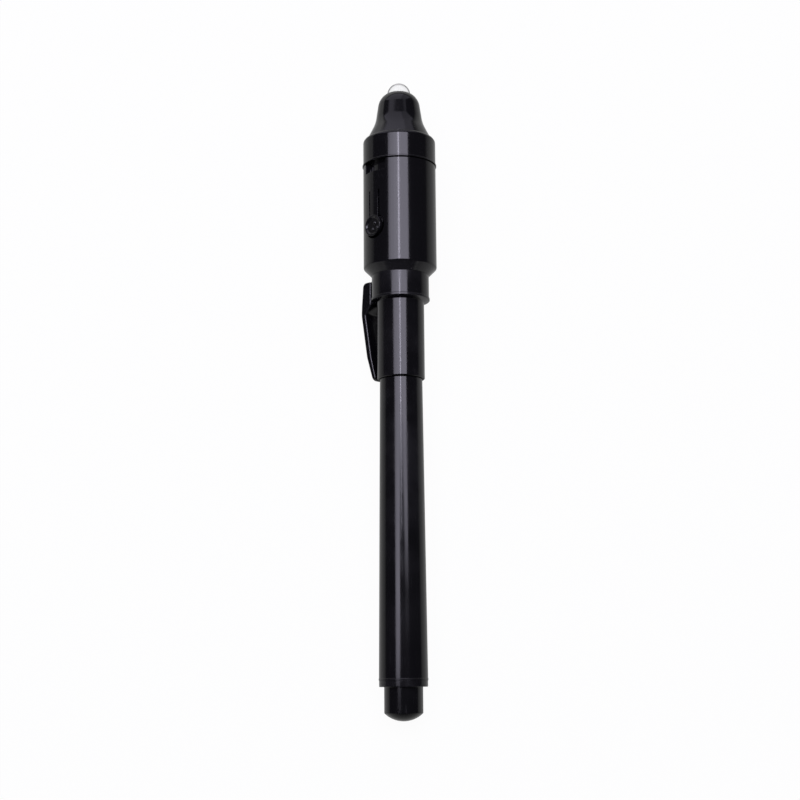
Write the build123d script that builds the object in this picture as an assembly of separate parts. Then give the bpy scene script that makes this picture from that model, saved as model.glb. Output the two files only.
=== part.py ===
from build123d import *
import os

# UV pen with a lamp in its cap, lying along Y with the lamp towards +Y and +Z up.
# Lengths are millimetres, angles are degrees.
# A station is a distance along the pen from the tail tip.
# A side angle is measured round the pen from +Z towards -X.

# Tail plug
TAIL_DOME_HEIGHT = 1.64
TAIL_PIN_RADIUS = 3.95
TAIL_PIN_LENGTH = 5.2
TAIL_FLANGE_STEP = 0.03
TAIL_FLANGE_LENGTH = 1.3
TAIL_SPIGOT_LENGTH = 6.0
TAIL_SPIGOT_WALL = 1.1
TAIL_EDGE_ROUND = 0.15

# Barrel
BARREL_LENGTH = 62.15
BARREL_TAIL_RADIUS = 5.0
BARREL_FRONT_RADIUS = 4.46
BARREL_WALL = 0.9
BARREL_LIP = 0.06
BARREL_LIP_LENGTH = 0.35
CAP_SEAT_STEP = 0.41
CAP_SEAT_LENGTH = 9.6
CAP_SEAT_WALL = 0.7
CAP_SEAT_CHAMFER = 0.3

# Nib, grip section and ink rod
GRIP_SPIGOT_LENGTH = 6.0
GRIP_FLANGE_LENGTH = 1.5
GRIP_LAND_STEP = 0.75
GRIP_LAND_LENGTH = 4.0
GRIP_TAPER_LENGTH = 4.6
GRIP_TIP_WALL = 0.6
NIB_RADIUS = 1.2
NIB_REACH = 3.4
NIB_TIP_HEIGHT = 1.5
NIB_TIP_ROUND = 0.4
NIB_BITE = 4.0
WRAP_THICKNESS = 0.15

# Cap sleeve, collar and inner cap
SLEEVE_WALL = 0.85
SLEEVE_LENGTH = 16.5
SLEEVE_MOUTH_GAP = 0.1
SLEEVE_MOUTH_ROUND = 0.25
COLLAR_STEP = 1.08
COLLAR_LENGTH = 5.8
COLLAR_SLOPE = 0.45
COLLAR_LIP = 0.14
COLLAR_LIP_LENGTH = 0.45
CAP_SPIGOT_STEP = 0.58
CAP_SPIGOT_LENGTH = 4.8
CAP_END_WALL = 1.2
INNER_CAP_LENGTH = 12.3
INNER_CAP_END = 0.8

# Pocket clip, its outer line given by rises above the collar and the sleeve
CLIP_ANGLE = 130.0
CLIP_SEAT_RISE = 0.32
CLIP_LENGTH = 21.5
CLIP_ROOT_LENGTH = 5.4
CLIP_ROOT_WIDTH = 4.2
CLIP_TIP_WIDTH = 3.0
CLIP_ROOT_DEPTH = 2.4
CLIP_CREST_RISE = 0.57
CLIP_CREST_REACH = 7.0
CLIP_KNEE_DROP = 1.2
CLIP_KNEE_REACH = 16.24
CLIP_THICKNESS = 1.4
CLIP_TIP_THICKNESS = 1.1
CLIP_TIP_GAP = 0.6
CLIP_BEND_ROUND = 6.0
CLIP_EDGE_ROUND = 0.3
CLIP_CORNER_ROUND = 0.9

# Lamp head
HEAD_RADIUS = 7.785
HEAD_LENGTH = 24.1
HEAD_WALL = 1.335
HEAD_WEB = 2.3
HEAD_FOOT_STEP = 0.015
HEAD_EDGE_ROUND = 0.5
NOTCH_ANGLE = 45.5
NOTCH_WIDTH = 5.96
NOTCH_DEPTH = 2.35

# Push button on its tongue
BUTTON_ANGLE = 45.0
BUTTON_DROP = 0.94
PAD_RADIUS = 2.27
PAD_RISE = 0.45
PAD_EDGE_ROUND = 0.12
PAD_GAP = 0.4
DISH_RADIUS = 1.95
DISH_DEPTH = 0.3
DISH_SLOPE = 0.25
TONGUE_LENGTH = 7.85
TONGUE_WIDTH = 2.3
SLIT_WIDTH = 0.45
PIP_RADIUS = 0.32
PIP_RISE = 0.2
PIP_SPREAD = 0.8
PIP_TURN = 4.0
PIP_COUNT = 3
PIP_SHIFT_ALONG = 0.33
PIP_SHIFT_ACROSS = 0.45
NUB_RADIUS = 0.8
NUB_OFFSET = 0.35
NUB_LENGTH = 1.1
NUB_TIP_ROUND = 0.55

# Nose ring and nose cone
RING_LENGTH = 6.31
RING_SPIGOT_WALL = 0.9
RING_SPIGOT_LENGTH = 3.0
RING_EDGE_ROUND = 0.55
RING_LIP = 0.18
RING_LIP_LENGTH = 0.28
RING_SEAM = 0.2
CONE_HEIGHT = 10.8
CONE_FOOT_STEP = 0.885
CONE_FOOT_LIP = 0.1
CONE_FLARE = 1.8
CONE_WAIST_HEIGHT = 3.7
CONE_TAPER = 1.05
CONE_FLARE_ROUND = 8.0
CONE_TIP_ROUND = 3.6
CONE_SPIGOT_LENGTH = 2.6
CONE_SPIGOT_WALL = 1.2
CONE_POCKET_DEPTH = 1.9

# Lamp, a round clear body with two leads
LAMP_RADIUS = 2.5
LAMP_HEIGHT = 8.6
LAMP_FLANGE_STEP = 0.4
LAMP_FLANGE_LENGTH = 1.0
LAMP_PROUD = 2.1
LEAD_PITCH = 2.54
LEAD_WIDTH = 0.5
LAMP_POST_DEPTH = 4.2
LAMP_CUP_RADIUS = 0.75
LAMP_CUP_DEPTH = 0.4
LAMP_CUP_HEIGHT = 1.3
CHIP_WIDTH = 0.36
CHIP_HEIGHT = 0.18

# Button cells
CELL_COUNT = 3
CELL_HEIGHT = 3.05
CELL_RIM = 0.95
CELL_LID_STEP = 0.4
CELL_LID_DEPTH = 1.1
CELL_GASKET = 0.3
CELL_GASKET_STEP = 0.2
CELL_EDGE_ROUND = 0.3

# Cell holder and contacts
HOLDER_PLATE = 1.1
HOLDER_COLLAR_LENGTH = 3.2
HOLDER_COLLAR_WALL = 1.0
HOLDER_WALL = 0.4
HOLDER_SPREAD = 0.4
CONTACT_THICKNESS = 0.25
CONTACT_MARGIN = 0.65
CONTACT_ARM_WIDTH = 2.2
CONTACT_TAB_LENGTH = 1.6
STRIP_THICKNESS = 0.2
STRIP_WIDTH = 2.0
STRIP_RECESS = 0.05
STRIP_MARGIN = 0.03
STRIP_LIFT = 0.75
STRIP_BEND = 0.4
BLADE_END_GAP = 0.35
BLADE_WIDTH = 1.8
SWITCH_GAP = 0.7

# Clearances
PRESS_CLEARANCE = 0.02
RUNNING_CLEARANCE = 0.05
CAP_CLEARANCE = 0.1
SEAL_CLEARANCE = 0.05
INK_CLEARANCE = 0.15
CELL_CLEARANCE = 0.1
HOLDER_CLEARANCE = 0.15
BLADE_CLEARANCE = 0.05

# Stations from the tail to the lamp
tail_edge = TAIL_DOME_HEIGHT
flange_foot = tail_edge + TAIL_PIN_LENGTH
barrel_foot = flange_foot + TAIL_FLANGE_LENGTH
plug_top = barrel_foot + TAIL_SPIGOT_LENGTH
shoulder = barrel_foot + BARREL_LENGTH
barrel_top = shoulder + CAP_SEAT_LENGTH
grip_foot = barrel_top - GRIP_SPIGOT_LENGTH
land_foot = barrel_top + GRIP_FLANGE_LENGTH
land_top = land_foot + GRIP_LAND_LENGTH
grip_top = land_top + GRIP_TAPER_LENGTH
nib_tip = grip_top + NIB_REACH
mouth = shoulder + SLEEVE_MOUTH_GAP
collar_foot = mouth + SLEEVE_LENGTH
head_foot = collar_foot + COLLAR_LENGTH
clip_top = collar_foot + CLIP_ROOT_LENGTH
cap_spigot_top = head_foot + CAP_SPIGOT_LENGTH
cap_end = cap_spigot_top - CAP_END_WALL
seam = head_foot + HEAD_LENGTH
ring_top = seam + RING_LENGTH
cone_top = ring_top + CONE_HEIGHT
lamp_tip = cone_top + LAMP_PROUD
lamp_foot = lamp_tip - LAMP_HEIGHT
flange_top = lamp_foot + LAMP_FLANGE_LENGTH
ring_spigot_foot = seam - RING_SPIGOT_LENGTH

# Stations of the cell stack, down from the nose ring
ceiling_top = ring_spigot_foot
ceiling_foot = ceiling_top - HOLDER_PLATE
stack_top = ceiling_foot - CONTACT_THICKNESS
stack_foot = stack_top - CELL_COUNT * CELL_HEIGHT
floor_top = stack_foot - CONTACT_THICKNESS
floor_foot = floor_top - HOLDER_PLATE
strip_foot = cap_spigot_top + STRIP_LIFT
strip_top = strip_foot + STRIP_THICKNESS
blade_top = stack_foot - BLADE_END_GAP
pad_center = stack_foot - BUTTON_DROP
tongue_root = pad_center + TONGUE_LENGTH

# Radii of the pen and its cap, each carried by the one before
flange_radius = BARREL_TAIL_RADIUS - TAIL_FLANGE_STEP
plug_bore = BARREL_TAIL_RADIUS - BARREL_WALL
cap_seat_radius = BARREL_FRONT_RADIUS - CAP_SEAT_STEP
grip_bore = cap_seat_radius - CAP_SEAT_WALL
grip_land_radius = cap_seat_radius - GRIP_LAND_STEP
wrap_radius = grip_bore - INK_CLEARANCE
ink_rod_radius = wrap_radius - WRAP_THICKNESS
nib_bore = NIB_RADIUS + PRESS_CLEARANCE
sleeve_bore = cap_seat_radius + CAP_CLEARANCE
sleeve_radius = sleeve_bore + SLEEVE_WALL
collar_radius = sleeve_radius + COLLAR_STEP
cap_spigot_radius = collar_radius - CAP_SPIGOT_STEP
inner_cap_radius = sleeve_bore - PRESS_CLEARANCE
inner_cap_bore = grip_land_radius + SEAL_CLEARANCE

# Radii of the lamp head, from the housing inwards
head_foot_radius = collar_radius + HEAD_FOOT_STEP
head_bore = HEAD_RADIUS - HEAD_WALL
pad_height = HEAD_RADIUS + PAD_RISE
dish_floor = pad_height - DISH_DEPTH
ring_spigot_radius = head_bore - RUNNING_CLEARANCE
ring_bore = ring_spigot_radius - RING_SPIGOT_WALL
ring_fit_radius = ring_bore - PRESS_CLEARANCE
cone_foot_radius = HEAD_RADIUS - CONE_FOOT_STEP
cone_waist_radius = cone_foot_radius - CONE_FLARE
cone_tip_radius = cone_waist_radius - CONE_TAPER
lamp_flange_radius = LAMP_RADIUS + LAMP_FLANGE_STEP
lamp_bore = LAMP_RADIUS + PRESS_CLEARANCE
lamp_pocket = lamp_flange_radius + PRESS_CLEARANCE
holder_radius = head_bore - HOLDER_CLEARANCE
holder_bore = holder_radius - HOLDER_WALL
strip_seat = holder_radius - STRIP_MARGIN - STRIP_THICKNESS
cell_radius = holder_bore - CELL_CLEARANCE
cell_lid_radius = cell_radius - CELL_RIM
contact_radius = cell_lid_radius - CONTACT_MARGIN
lowest = HEAD_RADIUS + RING_LIP

# Heights of the pocket clip above the pen axis, on its own side
clip_seat = collar_radius + CLIP_SEAT_RISE
clip_root = clip_seat + CLIP_ROOT_DEPTH
clip_crest = clip_root + CLIP_CREST_RISE
clip_knee = clip_crest - CLIP_KNEE_DROP
clip_tip = sleeve_radius + CLIP_TIP_GAP

# Heights of the switch parts above the pen axis, on the button side
nub_tip_height = head_bore - NUB_LENGTH
blade_outer = nub_tip_height - BLADE_CLEARANCE
blade_inner = blade_outer - STRIP_THICKNESS
tab_outer = blade_inner - SWITCH_GAP
floor_edge = tab_outer - CONTACT_THICKNESS


def turned(*corners):
    """Solid turned about the pen axis from (radius, station, optional round) corners."""
    points = [corner[:2] for corner in corners]
    rounds = [corner[2] if len(corner) > 2 else 0 for corner in corners]
    return revolve(make_face(FilletPolyline(*points, radius=rounds, close=True)), Axis.Y)


def tube(outer, inner, foot, top):
    """Plain ring between two radii and two stations."""
    return turned((inner, foot), (outer, foot), (outer, top), (inner, top))


def rod(radius, foot, top):
    """Plain round rod on the pen axis."""
    return turned((0, foot), (radius, foot), (radius, top), (0, top))


def across(sketch, low, high):
    """Solid from a (station, width) sketch, pushed out from one height to another."""
    return Pos(low, 0, 0) * extrude(Plane.YZ * sketch, high - low)


def slab(corners, width):
    """Solid from (height, station) corners, as wide as given about the side plane."""
    points = [corner[:2] for corner in corners]
    rounds = [corner[2] if len(corner) > 2 else 0 for corner in corners]
    return extrude(make_face(FilletPolyline(*points, radius=rounds, close=True)), width / 2, both=True)


def bar(foot, top, half_width):
    """(station, width) rectangle between two stations."""
    corners = [(foot, -half_width), (top, -half_width), (top, half_width), (foot, half_width)]
    return make_face(Polyline(*corners, close=True))


def side(angle):
    """Turn that brings +X, used as the height axis while modelling, to a side angle."""
    return Rot(0, -(90 + angle), 0)


def rims(solid, radius, station):
    """Round edges of a turned solid at one radius and station."""
    edges = solid.edges().filter_by(GeomType.CIRCLE)
    return [e for e in edges if abs(e.radius - radius) < 1e-4 and abs(e.arc_center.Y - station) < 1e-4]


def make_tail_plug():
    dome = TangentArc((0, 0), (TAIL_PIN_RADIUS, tail_edge), tangent=(1, 0))
    spigot = plug_bore - PRESS_CLEARANCE
    body = Polyline(
        (TAIL_PIN_RADIUS, tail_edge),
        (TAIL_PIN_RADIUS, flange_foot),
        (flange_radius, flange_foot),
        (flange_radius, barrel_foot),
        (spigot, barrel_foot),
        (spigot, plug_top),
        (spigot - TAIL_SPIGOT_WALL, plug_top),
        (spigot - TAIL_SPIGOT_WALL, barrel_foot),
        (0, barrel_foot),
        (0, 0),
    )
    plug = revolve(make_face([dome, body]), Axis.Y)
    soft = rims(plug, TAIL_PIN_RADIUS, tail_edge) + rims(plug, flange_radius, flange_foot)
    return fillet(soft, TAIL_EDGE_ROUND)


def make_barrel():
    lip_top = barrel_foot + BARREL_LIP_LENGTH
    seat = turned(
        (plug_bore, barrel_foot),
        (BARREL_TAIL_RADIUS + BARREL_LIP, barrel_foot),
        (BARREL_TAIL_RADIUS + BARREL_LIP, lip_top),
        (BARREL_TAIL_RADIUS, lip_top),
        (BARREL_FRONT_RADIUS, shoulder, BARREL_LIP),
        (cap_seat_radius, shoulder),
        (cap_seat_radius, barrel_top),
        (grip_bore, barrel_top),
        (grip_bore, shoulder),
        (plug_bore, plug_top),
    )
    return chamfer(rims(seat, cap_seat_radius, barrel_top), CAP_SEAT_CHAMFER)


def make_grip_section():
    spigot = grip_bore - PRESS_CLEARANCE
    return turned(
        (nib_bore, grip_foot),
        (spigot, grip_foot),
        (spigot, barrel_top),
        (cap_seat_radius - CAP_SEAT_CHAMFER, barrel_top),
        (cap_seat_radius - CAP_SEAT_CHAMFER, land_foot),
        (grip_land_radius, land_foot),
        (grip_land_radius, land_top),
        (nib_bore + GRIP_TIP_WALL, grip_top),
        (nib_bore, grip_top),
    )


def make_nib():
    return turned(
        (0, grip_foot - NIB_BITE),
        (NIB_RADIUS, grip_foot - NIB_BITE),
        (NIB_RADIUS, nib_tip - NIB_TIP_HEIGHT, NIB_TIP_ROUND),
        (NIB_TIP_ROUND, nib_tip, NIB_TIP_ROUND),
        (0, nib_tip),
    )


def make_ink_reservoir():
    return rod(ink_rod_radius, plug_top, grip_foot) - rod(nib_bore, grip_foot - NIB_BITE, grip_foot)


def make_reservoir_wrap():
    return tube(wrap_radius, ink_rod_radius, plug_top, grip_foot)


def make_cap_sleeve():
    lip = collar_radius + COLLAR_LIP
    lip_foot = collar_foot + COLLAR_SLOPE
    lip_top = lip_foot + COLLAR_LIP_LENGTH
    sleeve = turned(
        (sleeve_bore, mouth, SLEEVE_MOUTH_ROUND),
        (sleeve_radius, mouth, SLEEVE_MOUTH_ROUND),
        (sleeve_radius, collar_foot),
        (lip, lip_foot),
        (lip, lip_top),
        (collar_radius, lip_top),
        (collar_radius, head_foot),
        (cap_spigot_radius, head_foot),
        (cap_spigot_radius, cap_spigot_top),
        (0, cap_spigot_top),
        (0, cap_end),
        (sleeve_bore, cap_end),
    )
    boss = across(bar(lip_foot, clip_top, CLIP_ROOT_WIDTH / 2), sleeve_radius, clip_seat)
    return sleeve + side(CLIP_ANGLE) * boss


def make_inner_cap():
    foot = cap_end - INNER_CAP_LENGTH
    ceiling = cap_end - INNER_CAP_END
    return turned(
        (inner_cap_bore, foot),
        (inner_cap_radius, foot),
        (inner_cap_radius, cap_end),
        (0, cap_end),
        (0, ceiling),
        (inner_cap_bore, ceiling),
    )


def make_pocket_clip():
    tip = clip_top - CLIP_LENGTH
    crest = clip_top - CLIP_CREST_REACH
    knee = clip_top - CLIP_KNEE_REACH
    lip_foot = collar_foot + COLLAR_SLOPE
    arm = slab(
        [
            (clip_seat, clip_top),
            (clip_root, clip_top, CLIP_CORNER_ROUND),
            (clip_crest, crest, CLIP_BEND_ROUND),
            (clip_knee, knee, CLIP_BEND_ROUND),
            (clip_tip + CLIP_TIP_THICKNESS, tip),
            (clip_tip, tip),
            (clip_knee - CLIP_THICKNESS, knee, CLIP_BEND_ROUND),
            (clip_crest - CLIP_THICKNESS, crest, CLIP_CORNER_ROUND),
            (clip_seat, lip_foot),
        ],
        CLIP_ROOT_WIDTH,
    )
    root = CLIP_ROOT_WIDTH / 2
    end = CLIP_TIP_WIDTH / 2
    outline = FilletPolyline(
        (clip_top, -root),
        (clip_top, root),
        (lip_foot, root),
        (tip, end),
        (tip, -end),
        (lip_foot, -root),
        radius=[0, 0, 0, CLIP_CORNER_ROUND, CLIP_CORNER_ROUND, 0],
        close=True,
    )
    clip = arm & across(make_face(outline), clip_seat - CLIP_THICKNESS, clip_crest)
    outer = [edge for face in clip.faces() if face.normal_at().X > 0.5 for edge in face.edges()]
    spots = [edge.center() for edge in outer]
    low = clip_top - CLIP_EDGE_ROUND / 2
    rim = [edge for edge, spot in zip(outer, spots) if spots.count(spot) == 1 and spot.Y < low]
    return side(CLIP_ANGLE) * fillet(rim, CLIP_EDGE_ROUND)


def button_plan(gap, slit):
    """Outline of the tongue and its round pad, grown by a gap round the pad and a slit beside the tongue."""
    pad = Pos(pad_center, 0) * Circle(PAD_RADIUS + gap)
    return pad + bar(pad_center, tongue_root, TONGUE_WIDTH / 2 + slit)


def make_head_housing():
    chamfer_top = head_foot + HEAD_RADIUS - head_foot_radius
    foot_bore = cap_spigot_radius + PRESS_CLEARANCE
    shell = turned(
        (foot_bore, head_foot),
        (head_foot_radius, head_foot),
        (HEAD_RADIUS, chamfer_top, HEAD_EDGE_ROUND),
        (HEAD_RADIUS, seam),
        (head_bore, seam),
        (head_bore, head_foot + HEAD_WEB),
        (foot_bore, head_foot + HEAD_WEB),
    )
    window = across(button_plan(PAD_GAP, SLIT_WIDTH), 0, pad_height)
    notch = across(bar(seam - NOTCH_DEPTH, seam, NOTCH_WIDTH / 2), 0, pad_height)
    return shell - side(BUTTON_ANGLE) * window - side(NOTCH_ANGLE) * notch


def make_push_button():
    wall = tube(HEAD_RADIUS, head_bore, pad_center - 2 * PAD_RADIUS, tongue_root)
    tongue = wall & across(button_plan(0, 0), 0, pad_height)
    pad = across(Pos(pad_center, 0) * Circle(PAD_RADIUS), head_bore, pad_height)
    pad = fillet(pad.edges().filter_by(GeomType.CIRCLE).sort_by(Axis.X)[-1], PAD_EDGE_ROUND)
    dish = across(Pos(pad_center, 0) * Circle(DISH_RADIUS), dish_floor, pad_height)
    dish = chamfer(dish.edges().filter_by(GeomType.CIRCLE).sort_by(Axis.X)[0], DISH_SLOPE)
    nub = across(Pos(pad_center - NUB_OFFSET, 0) * Circle(NUB_RADIUS), nub_tip_height, HEAD_RADIUS)
    nub = fillet(nub.edges().filter_by(GeomType.CIRCLE).sort_by(Axis.X)[0], NUB_TIP_ROUND)
    button = tongue + pad + nub - dish
    pips = Pos(pad_center - PIP_SHIFT_ALONG, -PIP_SHIFT_ACROSS)
    for spot in PolarLocations(PIP_SPREAD, PIP_COUNT, PIP_TURN):
        pip = across(pips * spot * Circle(PIP_RADIUS), dish_floor - PIP_RADIUS, dish_floor + PIP_RISE)
        button += fillet(pip.edges().filter_by(GeomType.CIRCLE).sort_by(Axis.X)[-1], PIP_RISE)
    return side(BUTTON_ANGLE) * button


def make_nose_ring():
    foot = seam + RING_SEAM
    lip = HEAD_RADIUS + RING_LIP
    return turned(
        (ring_bore, ring_spigot_foot),
        (ring_spigot_radius, ring_spigot_foot),
        (ring_spigot_radius, foot),
        (lip, foot),
        (lip, foot + RING_LIP_LENGTH),
        (HEAD_RADIUS, foot + RING_LIP_LENGTH),
        (HEAD_RADIUS, ring_top, RING_EDGE_ROUND),
        (ring_bore, ring_top),
    )


def make_nose_cone():
    foot = ring_top - CONE_SPIGOT_LENGTH
    cavity = ring_fit_radius - CONE_SPIGOT_WALL
    bell = turned(
        (0, ring_top),
        (cone_foot_radius, ring_top),
        (cone_foot_radius, ring_top + CONE_FOOT_LIP),
        (cone_waist_radius, ring_top + CONE_WAIST_HEIGHT, CONE_FLARE_ROUND),
        (cone_tip_radius, cone_top, CONE_TIP_ROUND),
        (0, cone_top),
    )
    hollow = turned(
        (0, foot),
        (cavity, foot),
        (cavity, ring_top),
        (lamp_pocket, flange_top - CONE_POCKET_DEPTH),
        (lamp_pocket, flange_top),
        (lamp_bore, flange_top),
        (lamp_bore, cone_top),
        (0, cone_top),
    )
    return bell + rod(ring_fit_radius, foot, ring_top) - hollow


def make_leads():
    """Anode lead, and cathode lead with the cup that holds the chip."""
    post_top = lamp_tip - LAMP_POST_DEPTH
    reach = LEAD_PITCH / 2
    half = LEAD_WIDTH / 2
    cup_foot = post_top - LAMP_CUP_HEIGHT
    anode = slab(
        [
            (reach - half, ceiling_foot),
            (reach + half, ceiling_foot),
            (reach + half, post_top),
            (LAMP_CUP_RADIUS + half, post_top),
            (LAMP_CUP_RADIUS + half, cup_foot),
            (reach - half, cup_foot - half),
        ],
        LEAD_WIDTH,
    )
    stem = slab(
        [
            (-reach - half, ceiling_top - STRIP_RECESS),
            (-reach + half, ceiling_top - STRIP_RECESS),
            (-reach + half, cup_foot - LEAD_WIDTH),
            (half, cup_foot),
            (half, post_top - LAMP_CUP_DEPTH),
            (-reach - half, post_top - LAMP_CUP_DEPTH),
        ],
        LEAD_WIDTH,
    )
    cup_wall = LAMP_CUP_RADIUS - CHIP_WIDTH
    cup = turned(
        (0, cup_foot),
        (half, cup_foot),
        (LAMP_CUP_RADIUS, cup_foot + LAMP_CUP_HEIGHT / 2),
        (LAMP_CUP_RADIUS, post_top),
        (LAMP_CUP_RADIUS - cup_wall / 4, post_top),
        (CHIP_WIDTH, post_top - LAMP_CUP_DEPTH),
        (0, post_top - LAMP_CUP_DEPTH),
    )
    recess = turned(
        (0, post_top - LAMP_CUP_DEPTH),
        (CHIP_WIDTH, post_top - LAMP_CUP_DEPTH),
        (LAMP_CUP_RADIUS - cup_wall / 4, post_top),
        (0, post_top),
    )
    return side(BUTTON_ANGLE) * anode, side(BUTTON_ANGLE) * (stem + cup - recess)


def make_lamp_chip():
    foot = lamp_tip - LAMP_POST_DEPTH - LAMP_CUP_DEPTH
    half = CHIP_WIDTH / 2
    return side(BUTTON_ANGLE) * across(bar(foot, foot + CHIP_HEIGHT, half), -half, half)


def make_lamp_lens(*inside):
    dome_foot = lamp_tip - LAMP_RADIUS
    dome = TangentArc((LAMP_RADIUS, dome_foot), (0, lamp_tip), tangent=(0, 1))
    body = Polyline(
        (0, lamp_tip),
        (0, lamp_foot),
        (lamp_flange_radius, lamp_foot),
        (lamp_flange_radius, flange_top),
        (LAMP_RADIUS, flange_top),
        (LAMP_RADIUS, dome_foot),
    )
    lens = revolve(make_face([dome, body]), Axis.Y)
    for piece in inside:
        lens -= piece
    return lens


def make_cell_holder():
    collar_bore = ring_fit_radius - HOLDER_COLLAR_WALL
    collar = tube(ring_fit_radius, collar_bore, ceiling_foot, ceiling_top + HOLDER_COLLAR_LENGTH)
    shell = tube(holder_radius, holder_bore, floor_foot, ceiling_top)
    tray = shell & across(bar(floor_foot, ceiling_top, holder_radius), -holder_radius, HOLDER_SPREAD)
    ceiling = rod(holder_radius, ceiling_foot, ceiling_top)
    floor = rod(holder_radius, floor_foot, floor_top)
    floor &= across(bar(floor_foot, floor_top, holder_radius), -holder_radius, floor_edge)
    web = across(bar(strip_top, floor_foot, STRIP_WIDTH / 2), -strip_seat, floor_edge)
    body = side(BUTTON_ANGLE) * (tray + ceiling + floor + web) + collar
    groove_floor = ceiling_top - STRIP_RECESS - STRIP_THICKNESS
    half = STRIP_WIDTH / 2
    top_groove = across(bar(groove_floor, ceiling_top, half), -holder_radius, -LEAD_PITCH / 2 + LEAD_WIDTH)
    back_groove = across(bar(strip_top, ceiling_top, half), -holder_radius, -strip_seat)
    reach = LEAD_PITCH / 2
    lead_hole = across(bar(ceiling_foot, ceiling_top, LEAD_WIDTH), reach - LEAD_WIDTH, reach + LEAD_WIDTH)
    return body - side(BUTTON_ANGLE) * (top_groove + back_groove + lead_hole)


def make_positive_contact():
    return rod(contact_radius, stack_top, ceiling_foot)


def make_negative_contact():
    arm = slab(
        [
            (0, floor_top),
            (floor_edge, floor_top),
            (floor_edge, stack_foot - CONTACT_TAB_LENGTH),
            (tab_outer, stack_foot - CONTACT_TAB_LENGTH),
            (tab_outer, stack_foot),
            (0, stack_foot),
        ],
        CONTACT_ARM_WIDTH,
    )
    disc = rod(contact_radius, floor_top, stack_foot)
    disc &= across(bar(floor_top, stack_foot, contact_radius), -contact_radius, floor_edge)
    return side(BUTTON_ANGLE) * (disc + arm)


def make_cathode_strip():
    back = -strip_seat - STRIP_THICKNESS
    top = ceiling_top - STRIP_RECESS
    inner_end = -LEAD_PITCH / 2 + LEAD_WIDTH / 2
    strip = slab(
        [
            (inner_end, top),
            (back, top, STRIP_BEND),
            (back, strip_foot, STRIP_BEND),
            (blade_outer, strip_foot),
            (blade_outer, strip_top),
            (-strip_seat, strip_top),
            (-strip_seat, top - STRIP_THICKNESS),
            (inner_end, top - STRIP_THICKNESS),
        ],
        STRIP_WIDTH,
    )
    return side(BUTTON_ANGLE) * strip


def make_switch_blade():
    leaf = across(bar(strip_top, blade_top, BLADE_WIDTH / 2), blade_inner, blade_outer)
    return side(BUTTON_ANGLE) * leaf


def make_cell(foot):
    """Can, gasket and lid of one cell, lid down."""
    can_foot = foot + CELL_LID_STEP
    recess_top = foot + CELL_LID_DEPTH
    recess = cell_lid_radius + CELL_GASKET
    can = turned(
        (0, recess_top),
        (recess, recess_top),
        (recess, can_foot),
        (cell_radius, can_foot, CELL_EDGE_ROUND),
        (cell_radius, foot + CELL_HEIGHT, CELL_EDGE_ROUND),
        (0, foot + CELL_HEIGHT),
    )
    gasket = tube(recess, cell_lid_radius, foot + CELL_GASKET_STEP, recess_top)
    lid = turned(
        (0, foot), (cell_lid_radius, foot, CELL_GASKET_STEP), (cell_lid_radius, recess_top), (0, recess_top)
    )
    return {"can": can, "gasket": gasket, "lid": lid}


anode_lead, cathode_lead = make_leads()
lamp_chip = make_lamp_chip()

pieces = {
    "barrel": make_barrel(),
    "tail_plug": make_tail_plug(),
    "grip_section": make_grip_section(),
    "nib": make_nib(),
    "ink_reservoir": make_ink_reservoir(),
    "reservoir_wrap": make_reservoir_wrap(),
    "cap_sleeve": make_cap_sleeve(),
    "inner_cap": make_inner_cap(),
    "pocket_clip": make_pocket_clip(),
    "head_housing": make_head_housing(),
    "push_button": make_push_button(),
    "nose_ring": make_nose_ring(),
    "nose_cone": make_nose_cone(),
    "lamp_lens": make_lamp_lens(anode_lead, cathode_lead, lamp_chip),
    "lamp_chip": lamp_chip,
    "anode_lead": anode_lead,
    "cathode_lead": cathode_lead,
    "cell_holder": make_cell_holder(),
    "positive_contact": make_positive_contact(),
    "negative_contact": make_negative_contact(),
    "cathode_strip": make_cathode_strip(),
    "switch_blade": make_switch_blade(),
}
for number in range(CELL_COUNT):
    for name, solid in make_cell(stack_foot + number * CELL_HEIGHT).items():
        pieces[f"cell_{number + 1}_{name}"] = solid

# The frame sits under the middle of the pen, on the surface below its widest ring.
place = Pos(0, -lamp_tip / 2, lowest)
os.makedirs("parts", exist_ok=True)
for name, solid in pieces.items():
    export_step(place * solid, f"parts/{name}.step")
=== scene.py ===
"""Looks of a pen that writes in invisible ink and carries a lamp in its cap."""

import logging
import math
from collections.abc import Sequence
from dataclasses import dataclass, field
from enum import Enum
from typing import Any

import bpy
import numpy as np
from mathutils import Matrix, Vector


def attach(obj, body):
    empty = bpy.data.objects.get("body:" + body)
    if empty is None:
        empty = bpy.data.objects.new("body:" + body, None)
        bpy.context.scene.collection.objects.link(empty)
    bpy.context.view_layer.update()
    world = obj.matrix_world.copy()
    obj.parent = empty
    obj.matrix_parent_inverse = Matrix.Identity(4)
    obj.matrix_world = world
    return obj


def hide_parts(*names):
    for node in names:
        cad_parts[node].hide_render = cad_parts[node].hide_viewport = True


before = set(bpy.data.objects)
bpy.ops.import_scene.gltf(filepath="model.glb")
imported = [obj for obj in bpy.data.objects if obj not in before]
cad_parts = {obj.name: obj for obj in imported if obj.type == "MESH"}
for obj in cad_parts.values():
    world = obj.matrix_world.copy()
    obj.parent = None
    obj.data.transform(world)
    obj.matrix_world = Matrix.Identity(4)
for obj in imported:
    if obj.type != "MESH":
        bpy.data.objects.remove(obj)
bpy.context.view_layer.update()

Pair = tuple[float, float]
Triple = tuple[float, float, float]
Colour = tuple[float, float, float, float]
Array = np.ndarray
Rows = tuple[Array, Array]
Corners = Sequence[tuple[float, ...]]

LOG = logging.getLogger("pen")
MM = 0.001
AXIS_HEIGHT = 7.965
HALF_LENGTH = 68.0
TINY = 1e-9
QUARTER = np.linspace(0, np.pi / 2, 6)

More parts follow.
